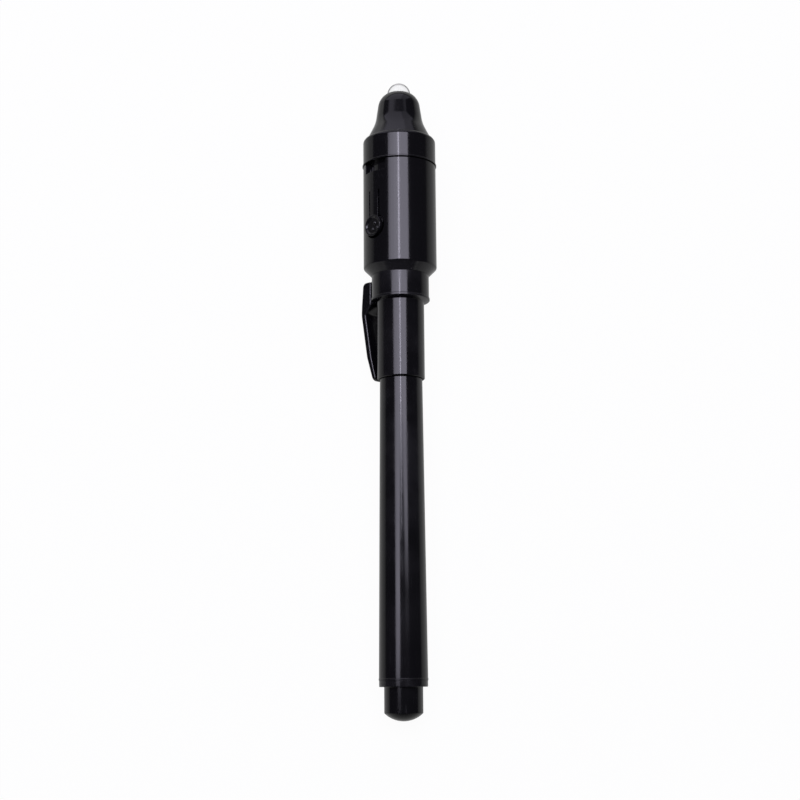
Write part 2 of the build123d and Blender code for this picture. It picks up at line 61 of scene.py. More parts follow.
# Rounds of moulded edges in millimetres
FINE = 0.03
CRISP = 0.05
SLIGHT = 0.06
NEAT = 0.08
SMALL = 0.1
MILD = 0.12
EASED = 0.15
SOFT = 0.2
BROAD = 0.25
FULL = 0.3

# Rounds along the slits beside the tongue and at its root
SLIT = 0.025
ROOT = 0.002

# Rounds below this size wear like edges
WORN_ROUND = 0.7

# Largest part of a normal that points out of a rounded edge, and how far it may differ
DIAGONAL = 0.7
DIAGONAL_SPAN = 0.29

# Gap of a press fit, and how closely a point has to lie to count as on a line
FIT = 0.02
CLOSE = 0.01

# Largest share of a bar's section that one corner round may take
CORNER_SHARE = 0.45


class Body(str, Enum):
    """The bodies that new pieces ride on."""

    PEN = "pen"
    CAP = "cap"
    CLIP = "clip"
    BUTTON = "button"
    LAMP = "lamp"


class Slot(str, Enum):
    """The record's material slots."""

    GLOSS = "black_gloss"
    MATTE = "black_matte"
    NIB = "nib_fibre"
    INK = "ink_fibre"
    FILM = "wrap_film"
    INNER_CAP = "inner_cap_white"
    LENS = "lamp_clear"
    EMITTER = "lamp_emitter"
    LEAD = "tinned_lead"
    CONTACT = "contact_nickel"
    CELL = "cell_steel"
    GASKET = "cell_gasket"


@dataclass(frozen=True)
class Basis:
    """Where a turned shape stands: a point of its axis, the axis, and two directions across it."""

    origin: Array
    along: Array
    first: Array
    second: Array

    def ring(self, sides: int) -> Array:
        """Unit directions evenly round the axis, from the first across direction to the second."""
        angle = np.arange(sides) * 2 * np.pi / sides
        return np.cos(angle)[:, None] * self.first + np.sin(angle)[:, None] * self.second


def outward(angle: Array | float) -> Array:
    """Direction away from the pen axis at a side angle, measured from +Z towards -X."""
    angle = np.asarray(angle, float)
    return np.stack([-np.sin(angle), np.zeros_like(angle), np.cos(angle)], -1)


def around(angle: Array | float) -> Array:
    """Direction round the pen in which the side angle grows."""
    angle = np.asarray(angle, float)
    return np.stack([-np.cos(angle), np.zeros_like(angle), -np.sin(angle)], -1)


ALONG = np.array([0.0, 1.0, 0.0])
TAIL_TIP = np.array([0.0, -HALF_LENGTH, AXIS_HEIGHT])
PEN = Basis(TAIL_TIP, ALONG, outward(0.0), around(0.0))


@dataclass
class Line:
    """Profile points, their outward normals, their shares of a rounded edge, and whether it is a loop."""

    points: Array
    normals: Array
    edge: Array
    closed: bool = True


@dataclass
class Shell:
    """One surface in millimetres: points, normals, blocks of faces, and edge shares."""

    points: Array
    normals: Array
    faces: list[Array]
    edge: Array


def rounded(corners: Corners, closed: bool = True, steps: int = 7) -> Line:
    """Profile through corners, each turned into an arc.

    At a corner that turns by d with round r, the arc starts r * tan(d / 2) before it. Its points are its
    centre plus or minus r times the outward normal, which turns evenly from one side's to the next's.

    Args:
        corners: (across, along) or (across, along, round) for each corner.
        closed: Whether the last corner joins the first.
        steps: Points on each arc.

    Returns:
        The profile with normals that point away from the area it encloses.
    """
    spots = np.array([corner[:2] for corner in corners], float)
    rounds = [corner[2] if len(corner) > 2 else 0.0 for corner in corners]
    after = np.roll(spots, -1, 0) - spots
    after /= np.maximum(np.linalg.norm(after, axis=1, keepdims=True), TINY)
    x, y = spots.T
    side = np.sign(np.sum(x * np.roll(y, -1) - np.roll(x, -1) * y))
    out = side * np.stack([after[:, 1], -after[:, 0]], 1)
    points, normals, edge = [], [], []
    for i, spot in enumerate(spots):
        u, v, a, b = after[i - 1], after[i], out[i - 1], out[i]
        if not closed and i in (0, len(spots) - 1):
            a = b = a if i else b
        if rounds[i] == 0:
            points.append(spot[None])
            normals.append(((a + b) / np.linalg.norm(a + b))[None])
            edge.append([0.0])
            continue
        turn = math.atan2(u[0] * v[1] - u[1] * v[0], u @ v)
        angle = turn * np.linspace(0, 1, steps)
        cosine, sine = np.cos(angle), np.sin(angle)
        normal = np.stack([a[0] * cosine - a[1] * sine, a[0] * sine + a[1] * cosine], 1)
        bulge = np.sign(turn) * side * rounds[i]
        centre = spot - u * rounds[i] * math.tan(abs(turn) / 2) - bulge * a
        points.append(centre + bulge * normal)
        normals.append(normal)
        edge.append(np.full(steps, float(bulge > 0 and rounds[i] < WORN_ROUND)))
    return Line(np.concatenate(points), np.concatenate(normals), np.concatenate(edge), closed)


def arc(centre: Pair, radius: float, start: float, end: float, count: int) -> list[Pair]:
    """Points on a circle between two angles in degrees, for use as corners."""
    angle = np.radians(np.linspace(start, end, count))
    return list(zip(centre[0] + radius * np.cos(angle), centre[1] + radius * np.sin(angle)))


def grid_faces(ids: Array, wrap_rows: bool, wrap_columns: bool) -> Array:
    """Quads between the neighbours of an index grid.

    Args:
        ids: Point numbers in rows and columns.
        wrap_rows: Whether the last row joins the first.
        wrap_columns: Whether the last column joins the first.

    Returns:
        Point numbers of each quad, shaped as the grid of quads.
    """
    if wrap_rows:
        ids = np.vstack([ids, ids[:1]])
    if wrap_columns:
        ids = np.hstack([ids, ids[:, :1]])
    return np.stack([ids[:-1, :-1], ids[1:, :-1], ids[1:, 1:], ids[:-1, 1:]], -1)


def turned(line: Line, sides: int = 192, basis: Basis = PEN) -> Shell:
    """Surface of a profile turned about an axis.

    The point of row i and column j is the axis at the profile's height plus its radius times ring
    direction j. An open profile that starts or ends on the axis closes there in one point with a fan.

    Args:
        line: Profile of (radius, height).
        sides: Columns round the axis.
        basis: Where the axis is.

    Returns:
        The surface.
    """
    poles = [i for i in (0, -1) if not line.closed and line.points[i, 0] < TINY]
    rows = slice(int(0 in poles), -1 if -1 in poles else None)
    ring = basis.ring(sides)
    radius, height = line.points[rows].T[..., None, None]
    across, up = line.normals[rows].T[..., None, None]
    points = [(basis.origin + height * basis.along + radius * ring).reshape(-1, 3)]
    normals = [(up * basis.along + across * ring).reshape(-1, 3)]
    ids = np.arange(len(points[0])).reshape(-1, sides)
    faces = [grid_faces(ids, line.closed, True).reshape(-1, 4)]
    edges = [np.repeat(line.edge[rows], sides)]
    for number, pole in enumerate(poles):
        tip = np.full(sides, ids.size + number)
        faces.append(np.stack([tip, ids[pole], np.roll(ids[pole], -1)], -1))
        points.append((basis.origin + line.points[pole, 1] * basis.along)[None])
        normals.append((np.sign(line.normals[pole, 1]) * basis.along)[None])
        edges.append(np.zeros(1))
    return Shell(np.concatenate(points), np.concatenate(normals), faces, np.concatenate(edges))


def bar_along(
    stations: Array,
    section: Sequence[Array],
    corner: float,
    end: float,
    angle: float,
    draft: float = 0.0,
) -> Shell:
    """Bar that runs along the pen at one side, with a section that changes from station to station.

    Each row is a rectangle with rounded corners: the corner's centre plus its round times (cos p, sin p),
    with p once round. Both ends close with a quarter round, where the section shrinks by
    end * (1 - cos q) while the station moves on by end * sin q, and then in one point.

    Args:
        stations: Stations of the rows, rising.
        section: Lower heights and upper heights above the pen axis, and half widths.
        corner: Round of the long edges.
        end: Round of the two ends.
        angle: Side angle in degrees.
        draft: How much the inner face drops for each step across it.

    Returns:
        The closed surface.
    """
    quarter = QUARTER[:-1][::-1]
    shrink, inward = end * (1 - np.cos(quarter)), end * (1 - np.sin(quarter))
    first, last = stations[0], stations[-1]
    inside = (stations > first + end) & (stations < last - end)
    rows = np.concatenate([first + inward, stations[inside], (last - inward)[::-1]])
    inset = np.concatenate([shrink, np.zeros(inside.sum()), shrink[::-1]])
    low, high, half = (np.interp(rows, stations, values) for values in section)
    low, high, half = low + inset, high - inset, half - inset
    turn = (np.arange(4)[:, None] * np.pi / 2 + QUARTER).ravel()
    sign_w, sign_h = np.repeat([[1, -1, -1, 1], [1, 1, -1, -1]], QUARTER.size, axis=1)
    soft = np.minimum(corner, CORNER_SHARE * np.minimum(2 * half, high - low))[:, None]
    wide = sign_w * (half[:, None] - soft) + soft * np.cos(turn)
    middle = ((low + high) / 2)[:, None]
    tall = middle + sign_h * ((high - low)[:, None] / 2 - soft) + soft * np.sin(turn)
    inner = draft * (sign_h < 0)
    tall = tall - inner * wide
    over, rise = np.cos(turn) + inner * np.sin(turn), np.sin(turn)
    step = np.gradient(rows)[:, None]
    lean = -(over * np.gradient(wide, axis=0) + rise * np.gradient(tall, axis=0))
    up, side = outward(math.radians(angle)), around(math.radians(angle))
    points = TAIL_TIP + rows[:, None, None] * ALONG + tall[..., None] * up + wide[..., None] * side
    normals = (over * step)[..., None] * side + (rise * step)[..., None] * up + lean[..., None] * ALONG
    normals /= np.linalg.norm(normals, axis=-1, keepdims=True)
    ids = np.arange(wide.size).reshape(wide.shape)
    tips = np.stack([points[i].mean(0) for i in (0, -1)])
    faces = [grid_faces(ids, False, True).reshape(-1, 4)]
    for number, row in enumerate((0, -1)):
        tip = np.full(turn.size, wide.size + number)
        faces.append(np.stack([tip, ids[row], np.roll(ids[row], -1)], -1))
    on_round = np.isin(np.arange(turn.size) % QUARTER.size, (1, 2, 3, 4)).astype(float)
    return Shell(
        np.concatenate([points.reshape(-1, 3), tips]),
        np.concatenate([normals.reshape(-1, 3), [-ALONG, ALONG]]),
        faces,
        np.concatenate([np.tile(on_round, len(rows)), [0, 0]]),
    )


@dataclass(frozen=True)
class Tube:
    """A round wall whose points are given as (round the wall, station, radius) about one side angle."""

    radius: float
    angle: float

    def place(self, spots: Array, normals: Array) -> Rows:
        """Points and normals in space. The side angle is the tube's plus the way round over the radius."""
        turn = math.radians(self.angle) + spots[..., 0] / self.radius
        up, side = outward(turn), around(turn)
        points = TAIL_TIP + spots[..., 1:2] * ALONG + spots[..., 2:3] * up
        return points, normals[..., :1] * side + normals[..., 1:2] * ALONG + normals[..., 2:3] * up


def joined(blocks: Sequence[Rows]) -> Rows:
    """Blocks of rows and of their normals, each set as one block."""
    spots, normals = (np.concatenate(parts) for parts in zip(*blocks))
    return spots, normals


def flat_rows(start: Array, end: Array, shares: Array, radius: float, facing: int) -> Rows:
    """Rows on a round wall between two outlines, each point going straight from one to the other.

    Args:
        start: (round, station) points of the first outline.
        end: The same number of points of the second outline.
        shares: How far along each row lies, from 0 to 1.
        radius: Radius of the wall.
        facing: 1 for its outside, -1 for its inside.

    Returns:
        Rows of (round, station, radius) and of normals.
    """
    spots = start + shares[:, None, None] * (end - start)
    ones = np.ones((*spots.shape[:2], 1))
    return np.concatenate([spots, radius * ones], -1), np.concatenate([0 * spots, facing * ones], -1)


def rim_rows(path: Array, out: Array, soft: Array, outer: float, inner: float) -> Rows:
    """Rows over the cut edge of a round wall: a quarter round, the cut face, and a quarter round.

    At turn p the row is the path less round * (1 - sin p) times its normal. Its radius is the outer one less
    round * (1 - cos p) up to a right angle, and the inner one plus round * (1 + cos p) after it.

    Args:
        path: (round, station) points of the cut.
        out: Their normals, pointing out of the material.
        soft: Round of the edge at each point.
        outer: Outer radius of the wall.
        inner: Inner radius of the wall.

    Returns:
        Rows of (round, station, radius) and of normals.
    """
    turn = np.concatenate([QUARTER, QUARTER + np.pi / 2])[:, None]
    spots = path - (soft * (1 - np.sin(turn)))[..., None] * out
    upper = outer - soft * (1 - np.cos(turn))
    lower = inner + soft * (1 + np.cos(turn))
    radius = np.where(np.arange(turn.size)[:, None] < QUARTER.size, upper, lower)[..., None]
    rise = np.broadcast_to(np.cos(turn)[..., None], radius.shape)
    return np.concatenate([spots, radius], -1), np.concatenate([np.sin(turn)[..., None] * out, rise], -1)


def keyhole(way: Array, pad: float, half: float, reach: float) -> Rows:
    """Outline of a round pad on a tongue, seen from the middle of the pad.

    The distance is the larger of the pad's radius and of the way to the tongue's side or end.

    Args:
        way: Angles from the direction of the tongue.
        pad: Radius of the pad.
        half: Half width of the tongue.
        reach: Length of the tongue from the middle of the pad.

    Returns:
        (round, station) points about the middle, and their normals.
    """
    sine, cosine = np.sin(way), np.cos(way)
    with np.errstate(divide="ignore"):
        to_side = half / np.abs(sine)
        to_end = np.where(cosine > 0, reach / cosine, 0)
    slot = np.where(cosine > 0, np.minimum(to_side, to_end), 0)
    ray = np.stack([sine, cosine], -1)
    face = np.where((to_side < to_end)[:, None], np.stack([np.sign(sine), 0 * sine], -1), [0.0, 1.0])
    return np.maximum(pad, slot)[:, None] * ray, np.where((slot > pad)[:, None], face, ray)


def add(name: str, data: bpy.types.ID) -> bpy.types.Object:
    """New object of the scene with the given data."""
    made = bpy.data.objects.new(name, data)
    bpy.context.scene.collection.objects.link(made)
    return made


class Wire:
    """A socket of a node tree. Arithmetic on it adds Math nodes."""

    def __init__(self, shader: "Shader", socket: bpy.types.NodeSocket) -> None:
        """Keeps the tree and the socket."""
        self.shader = shader
        self.socket = socket

    def math(self, operation: str, *others: Any) -> "Wire":
        """Result of a Math node on this wire and up to two more values."""
        return self.shader.math(operation, self, *others)

    def __add__(self, other: Any) -> "Wire":
        """Sum."""
        return self.math("ADD", other)

    def __sub__(self, other: Any) -> "Wire":
        """Difference."""
        return self.math("SUBTRACT", other)

    def __rsub__(self, other: Any) -> "Wire":
        """Difference from a number."""
        return self.shader.math("SUBTRACT", other, self)

    def __mul__(self, other: Any) -> "Wire":
        """Product."""
        return self.math("MULTIPLY", other)

    def __truediv__(self, other: Any) -> "Wire":
        """Quotient."""
        return self.math("DIVIDE", other)

    def __lt__(self, other: Any) -> "Wire":
        """1 where this is smaller."""
        return self.math("LESS_THAN", other)

    __radd__ = __add__
    __rmul__ = __mul__


class Shader:
    """The nodes of a material or a world under construction."""

    def __init__(self, owner: bpy.types.ID) -> None:
        """Clears the owner's nodes."""
        owner.use_nodes = True
        self.tree = owner.node_tree
        self.tree.nodes.clear()

    def node(self, kind: str, inputs: dict[Any, Any] | None = None, **settings: Any) -> bpy.types.Node:
        """Adds a node.

        Args:
            kind: Type name of the node, without its common beginning.
            inputs: Values, wires or nodes of its sockets, by name or number; a node gives its first output.
            settings: Its own settings, set first.

        Returns:
            The node.
        """
        made = self.tree.nodes.new("ShaderNode" + kind)
        for key, value in settings.items():
            setattr(made, key, value)
        for key, value in (inputs or {}).items():
            if isinstance(value, bpy.types.Node):
                self.tree.links.new(value.outputs[0], made.inputs[key])
            elif isinstance(value, Wire):
                self.tree.links.new(value.socket, made.inputs[key])
            else:
                made.inputs[key].default_value = value
        return made

    def wire(self, kind: str, inputs: dict[Any, Any] | None = None, output: Any = 0, **settings: Any) -> Wire:
        """Adds a node and gives one of its outputs."""
        return Wire(self, self.node(kind, inputs, **settings).outputs[output])

    def math(self, operation: str, *values: Any) -> Wire:
        """Result of a Math node on values and wires."""
        return self.wire("Math", dict(enumerate(values)), operation=operation)

    def coordinates(self, scale: Triple = (1, 1, 1), turn: Triple = (0, 0, 0)) -> Wire:
        """Object coordinates, scaled and turned."""
        spot = self.wire("TexCoord", output="Object")
        if scale == (1, 1, 1) and turn == (0, 0, 0):
            return spot
        return self.wire("Mapping", {"Vector": spot, "Scale": scale, "Rotation": turn})

    def noise(self, spot: Wire, scale: float, detail: float = 2.0) -> Wire:
        """Soft noise from 0 to 1."""
        return self.wire("TexNoise", {"Vector": spot, "Scale": scale, "Detail": detail})

    def fade(self, value: Wire, low: float, high: float) -> Wire:
        """0 below one value and 1 above another, with a soft step between them."""
        inputs = {"Value": value, "From Min": low, "From Max": high}
        return self.wire("MapRange", inputs, interpolation_type="SMOOTHSTEP")

    def mix(self, share: Any, first: Any, second: Any) -> Wire:
        """Colour between two colours."""
        return self.wire("Mix", {0: share, 6: first, 7: second}, 2, data_type="RGBA")

    def bump(self, height: Wire, strength: float, distance: float) -> Wire:
        """Normal from a height in metres of the given distance."""
        return self.wire("Bump", {"Strength": strength, "Distance": distance, "Height": height})

    def hairlines(self, scale: Triple, turn: Triple, width: float, least: float) -> Wire:
        """Thin lines at the borders of long cells, kept only in patches of a noise."""
        cells = {"Vector": self.coordinates(scale, turn), "Scale": 1.0}
        border = self.wire("TexVoronoi", cells, feature="DISTANCE_TO_EDGE")
        patch = self.fade(self.noise(self.coordinates(), 240.0), least, least + 0.12)
        return (1 - self.fade(border, 0.0, width)) * patch

    def specks(self, scale: float, size: float, share: float) -> Wire:
        """Small dots in a few of the cells of a cell pattern."""
        cell = self.node("TexVoronoi", {"Vector": self.coordinates(), "Scale": scale})
        dot = 1 - self.fade(Wire(self, cell.outputs["Distance"]), 0.5 * size, size)
        pick = self.wire("SeparateColor", {0: Wire(self, cell.outputs["Color"])})
        return dot * (pick < share)

    def edge(self) -> Wire:
        """Share of a rounded edge, which the new pieces carry."""
        return self.wire("Attribute", output="Fac", attribute_name="edge")

    def place(self) -> list[Wire]:
        """The three object coordinates."""
        split = self.node("SeparateXYZ", {0: self.coordinates()})
        return [Wire(self, output) for output in split.outputs]


def colour4(colour: Triple, factor: float = 1.0) -> Colour:
    """Colour times a factor, with full alpha."""
    return (*(min(1.0, c * factor) for c in colour), 1.0)


@dataclass(frozen=True)
class Finish:
    """A finish: its name, colour and shine. A kind of finish adds its own pattern."""

    name: str
    colour: Triple
    roughness: float

    def tint(self, factor: float = 1.0) -> Colour:
        """The finish's colour times a factor."""
        return colour4(self.colour, factor)

    def pattern(self, shader: Shader) -> dict[str, Any]:
        """Sockets of the surface that vary or differ from the plain ones."""
        raise NotImplementedError

    def material(self) -> bpy.types.Material:
        """Makes the material."""
        made = bpy.data.materials.new(self.name)
        shader = Shader(made)
        surface = shader.node("BsdfPrincipled", self.pattern(shader))
        shader.node("OutputMaterial", {"Surface": surface})
        return made


@dataclass(frozen=True)
class GlossPlastic(Finish):
    """Polished moulded plastic with handling marks."""

    scuff: Triple = (0.035, 0.034, 0.037)
    speck: Triple = (0.16, 0.155, 0.15)

    def pattern(self, shader: Shader) -> dict[str, Any]:
        """Faint flow in the shine, hairlines, dust, paler edges, and a trace of orange peel."""
        spot = shader.coordinates()
        flow = shader.noise(spot, 130.0, 3.0)
        grain = shader.noise(spot, 5200.0)
        lengthwise = shader.hairlines((420, 26, 420), (0.1, 0.05, 0.2), 0.012, 0.55)
        crosswise = shader.hairlines((170, 60, 190), (0.7, 0.4, 0.9), 0.008, 0.62)
        marks = lengthwise.math("MAXIMUM", crosswise)
        dust = shader.specks(430.0, 0.05, 0.22)
        wear = shader.edge() * shader.fade(flow, 0.35, 0.7)
        base = shader.mix(flow, self.tint(0.85), self.tint(1.2))
        base = shader.mix(marks * 0.25 + wear * 0.3, base, colour4(self.scuff))
        base = shader.mix(dust * 0.5, base, colour4(self.speck))
        rough = self.roughness + flow * 0.05 + grain * 0.03 + marks * 0.12 + wear * 0.1 + dust * 0.4
        peel = shader.noise(spot, 700.0, 1.0) + grain * 0.12 - marks * 0.2
        normal = shader.bump(peel, 0.25, 0.000004)
        return {"Base Color": base, "Roughness": rough, "Normal": normal, "IOR": 1.52}


@dataclass(frozen=True)
class MattePlastic(Finish):
    """Fine spark-eroded plastic or soft moulded polymer."""

    grain: float = 2600.0
    depth: float = 0.00002

    def pattern(self, shader: Shader) -> dict[str, Any]:
        """Grain in colour, shine and height, with slow shading from the flow of the moulding."""
        spot = shader.coordinates()
        flow = shader.noise(spot, 160.0, 3.0)
        grain = shader.noise(spot, self.grain, 3.0)
        shade = flow * 0.6 + grain * 0.4
        return {
            "Base Color": shader.mix(shade, self.tint(0.8), self.tint(1.2)),
            "Roughness": self.roughness + (grain - 0.5) * 0.16,
            "Normal": shader.bump(grain, 0.5, self.depth),
        }


@dataclass(frozen=True)
class Fibre(Finish):
    """Bundled fibres along the pen, as in a nib or an ink rod."""

    strand: float = 7000.0

    def pattern(self, shader: Shader) -> dict[str, Any]:
        """Strands drawn out along the pen, with painted shade in the gaps between them."""
        strands = shader.noise(shader.coordinates((1, 0.03, 1)), self.strand, 3.0)
        soak = shader.noise(shader.coordinates(), 190.0)
        # Painted shade in the gaps between strands, which are also rougher
        gaps = shader.fade(strands, 0.38, 0.6)
        base = shader.mix(gaps, self.tint(0.72), self.tint(1.04))
        return {
            "Base Color": shader.mix(soak * 0.3, base, self.tint(0.85)),
            "Roughness": self.roughness + gaps * 0.1,
            "Normal": shader.bump(strands, 0.6, 0.00004),
        }


@dataclass(frozen=True)
class Metal(Finish):
    """Plated sheet or wire, with drawing marks along one direction."""

    marks: Triple = (1.0, 0.03, 1.0)
    scale: float = 5000.0

    def pattern(self, shader: Shader) -> dict[str, Any]:
        """Fine drawing marks in shine and height, with a faint bloom on the plating."""
        streaks = shader.noise(shader.coordinates(self.marks), self.scale, 3.0)
        bloom = shader.noise(shader.coordinates(), 300.0, 3.0)
        dull = shader.fade(bloom, 0.4, 0.75)
        return {
            "Base Color": shader.mix(dull, self.tint(1.06), self.tint(0.8)),
            "Metallic": 1.0,
            "Roughness": self.roughness + streaks * 0.14 + bloom * 0.1,
            "Normal": shader.bump(streaks, 0.3, 0.000006),
        }


@dataclass(frozen=True)
class ClearResin(Finish):
    """Cast clear resin of the lamp body, with painted shade on the rim of its dome."""

    bright: Triple = (0.99, 0.99, 1.0)
    # Painted shade of the dome's rim: darkest at the foot, paler towards the tip
    painted_foot_shade: Triple = (0.04, 0.036, 0.043)
    painted_tip_shade: Triple = (0.4, 0.36, 0.42)
    rim_facing: Pair = (0.4, 0.7)
    rim_station: Pair = (0.0669, 0.0676)

    def pattern(self, shader: Shader) -> dict[str, Any]:
        """A trace of waviness from the casting cup, and painted shade on the rim that is seen edge-on, darker
        from the tip towards the foot.
        """
        flow = shader.noise(shader.coordinates(), 260.0, 1.0)
        # Painted shade: where the dome is seen edge-on, its colour goes towards the rim's painted shades
        rim = shader.fade(shader.wire("LayerWeight", {"Blend": 0.5}, "Facing"), *self.rim_facing)
        clear = shader.mix(flow, self.tint(), colour4(self.bright))
        tip = shader.fade(shader.place()[1], *self.rim_station)
        shade = shader.mix(tip, colour4(self.painted_foot_shade), colour4(self.painted_tip_shade))
        return {
            "Base Color": shader.mix(rim, clear, shade),
            "Roughness": self.roughness + flow * 0.03,
            "Normal": shader.bump(flow, 0.1, 0.00002),
            "Transmission Weight": 1.0,
            "IOR": 1.53,
        }


FINISHES: dict[Slot, Finish] = {
    Slot.GLOSS: GlossPlastic("gloss_black_plastic", (0.0036, 0.0034, 0.0044), 0.09),
    Slot.MATTE: MattePlastic("matte_black_plastic", (0.012, 0.012, 0.013), 0.5),
    Slot.NIB: Fibre("nib_fibre", (0.82, 0.81, 0.78), 0.75),
    Slot.INK: Fibre("ink_rod_fibre", (0.78, 0.79, 0.76), 0.85, 4200.0),
    Slot.FILM: MattePlastic("reservoir_film", (0.72, 0.73, 0.74), 0.28, 900.0, 0.00001),
    Slot.INNER_CAP: MattePlastic("inner_cap_polymer", (0.78, 0.78, 0.76), 0.4, 1500.0),
    Slot.LENS: ClearResin("lamp_resin", (0.97, 0.97, 0.985), 0.0),
    Slot.EMITTER: MattePlastic("lamp_emitter_chip", (0.55, 0.5, 0.24), 0.3, 9000.0, 0.000005),
    Slot.LEAD: Metal("tinned_wire", (0.72, 0.72, 0.73), 0.24),
    Slot.CONTACT: Metal("nickel_strip", (0.7, 0.67, 0.61), 0.2, (1.0, 0.05, 1.0), 6500.0),
    Slot.CELL: Metal("cell_steel", (0.66, 0.66, 0.67), 0.16, (1.0, 1.0, 1.0), 2600.0),
    Slot.GASKET: MattePlastic("cell_gasket_nylon", (0.06, 0.06, 0.065), 0.45, 3000.0),
}


@dataclass
class Workshop:
    """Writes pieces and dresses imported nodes, with each finish made once."""

    made: dict[Slot, bpy.types.Material] = field(default_factory=dict)

    def finish(self, slot: Slot) -> bpy.types.Material:
        """The material of a slot."""
        if slot not in self.made:
            self.made[slot] = FINISHES[slot].material()
        return self.made[slot]

    def write(self, name: str, shells: Sequence[Shell], body: Body, slot: Slot, *nodes: str) -> None:
        """Puts surfaces into one mesh, with faces turned to agree with their normals.

        Args:
            name: Name of the piece.
            shells: Its surfaces.
            body: Body that it rides on.
            slot: Material slot.
            nodes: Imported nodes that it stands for.
        """
        points = np.concatenate([shell.points for shell in shells]) * MM
        normals = np.concatenate([shell.normals for shell in shells])
        starts = np.cumsum([0] + [len(shell.points) for shell in shells])
        faces: list[list[int]] = []
        for shell, start in zip(shells, starts):
            for block in shell.faces:
                block = block + start
                corners = points[block]
                facing = np.cross(corners[:, 2] - corners[:, 0], corners[:, -1] - corners[:, 1])
                flip = np.sum(facing * normals[block].sum(1), 1) < 0
                block[flip] = block[flip][:, ::-1]
                faces += block.tolist()
        mesh = bpy.data.meshes.new(name)
        mesh.from_pydata(points.tolist(), [], faces)
        mesh.polygons.foreach_set("use_smooth", np.ones(len(mesh.polygons), bool))
        edge = mesh.attributes.new("edge", "FLOAT", "POINT")
        edge.data.foreach_set("value", np.concatenate([shell.edge for shell in shells]).astype(np.float32))
        mesh.normals_split_custom_set_from_vertices(normals.tolist())
        mesh.materials.append(self.finish(slot))
        piece = add(name, mesh)
        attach(piece, body.value)
        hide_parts(*nodes)
        LOG.info("%s: %d faces on %s", name, len(mesh.polygons), body.value)

    def dress(self, slot: Slot, *nodes: str) -> None:
        """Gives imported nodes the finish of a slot."""
        for name in nodes:
            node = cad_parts[name]
            for held in node.material_slots:
                held.material = self.finish(slot)
            LOG.info("%s: packed node in %s", name, slot.value)


@dataclass
class Barrel:
    """The tapered barrel with its cap seat, and the domed plug in its tail."""

    dome: float = 1.64
    pin: float = 3.95
    flange: float = 4.97
    flange_foot: float = 6.84
    foot: float = 8.14
    plug_top: float = 14.14
    plug_bore: float = 4.1
    plug_wall: float = 1.1
    tail: float = 5.0
    lip: float = 0.06
    lip_length: float = 0.35
    lip_round: float = 0.04
    front: float = 4.46
    shoulder: float = 70.29
    seat: float = 4.05
    chamfer: float = 0.3
    top: float = 79.89
    bore: float = 3.35

    def plug(self) -> Line:
        """Profile of the plug: dome of radius (pin^2 + dome^2) / (2 dome), pin, flange and hollow spigot."""
        curve = (self.pin**2 + self.dome**2) / (2 * self.dome)
        spread = math.degrees(math.asin(self.pin / curve))
        dome = arc((0.0, curve), curve, -90.0, -90.0 + spread, 24)
        spigot = self.plug_bore - FIT
        hollow = spigot - self.plug_wall
        corners = [
            *dome[:-1],
            (self.pin, self.dome, EASED), (self.pin, self.flange_foot, MILD),
            (self.flange, self.flange_foot, EASED), (self.flange, self.foot, CRISP),
            (spigot, self.foot, FINE), (spigot, self.plug_top, SOFT),
            (hollow, self.plug_top, FINE), (hollow, self.foot, FINE), (0.0, self.foot),
        ]
        return rounded(corners, closed=False)

    def tube(self) -> Line:
        """Profile of the barrel: lip, taper, shoulder, cap seat with a chamfer, and the bore."""
        lip, lip_top = self.tail + self.lip, self.foot + self.lip_length
        corners = [
            (self.plug_bore, self.foot, SMALL), (lip, self.foot, CRISP), (lip, lip_top, CRISP),
            (self.tail, lip_top + self.lip, self.lip_round), (self.front, self.shoulder, NEAT),
            (self.seat, self.shoulder, FINE), (self.seat, self.top - self.chamfer, SMALL),
            (self.seat - self.chamfer, self.top, SMALL), (self.bore, self.top, FINE),
            (self.bore, self.shoulder, FINE), (self.plug_bore, self.plug_top, FINE),
        ]
        return rounded(corners)

    def build(self, shop: Workshop) -> None:
        """Writes both mouldings."""
        shop.write("tail_plug_moulding", [turned(self.plug())], Body.PEN, Slot.GLOSS, "tail_plug")
        shop.write("barrel_moulding", [turned(self.tube())], Body.PEN, Slot.GLOSS, "barrel")


@dataclass
class WritingTip:
    """The grip section, the fibre nib, and the ink rod in its film."""

    foot: float = 73.89
    barrel_top: float = 79.89
    land_foot: float = 81.39
    land_top: float = 85.39
    land_round: float = 0.6
    top: float = 89.99
    top_wall: float = 0.6
    spigot: float = 3.33
    flange: float = 3.75
    land: float = 3.3
    nib: float = 1.2
    nib_foot: float = 69.89
    nib_tip: float = 93.39
    bullet: float = 1.5
    bullet_round: float = 0.9
    point: float = 0.42
    point_round: float = 0.38

    def grip(self) -> Line:
        """Profile of the grip section: spigot, flange, seal land, taper and nib bore."""
        bore = self.nib + FIT
        corners = [
            (bore, self.foot, FINE), (self.spigot, self.foot, EASED), (self.spigot, self.barrel_top, FINE),
            (self.flange, self.barrel_top, CRISP), (self.flange, self.land_foot, SOFT),
            (self.land, self.land_foot, EASED), (self.land, self.land_top, self.land_round),
            (bore + self.top_wall, self.top, BROAD), (bore, self.top, SMALL),
        ]
        return rounded(corners)

    def fibre(self) -> Line:
        """Profile of the nib: a rod with a rounded bullet tip."""
        corners = [
            (0.0, self.nib_foot), (self.nib, self.nib_foot, SMALL),
            (self.nib, self.nib_tip - self.bullet, self.bullet_round),
            (self.point, self.nib_tip, self.point_round), (0.0, self.nib_tip),
        ]
        return rounded(corners, closed=False, steps=12)

    def build(self, shop: Workshop) -> None:
        """Writes the grip and the nib, and dresses the ink rod."""
        shop.write("grip_moulding", [turned(self.grip(), 144)], Body.PEN, Slot.MATTE, "grip_section")
        shop.write("nib_bundle", [turned(self.fibre(), 96)], Body.PEN, Slot.NIB, "nib")
        shop.dress(Slot.INK, "ink_reservoir")
        shop.dress(Slot.FILM, "reservoir_wrap")


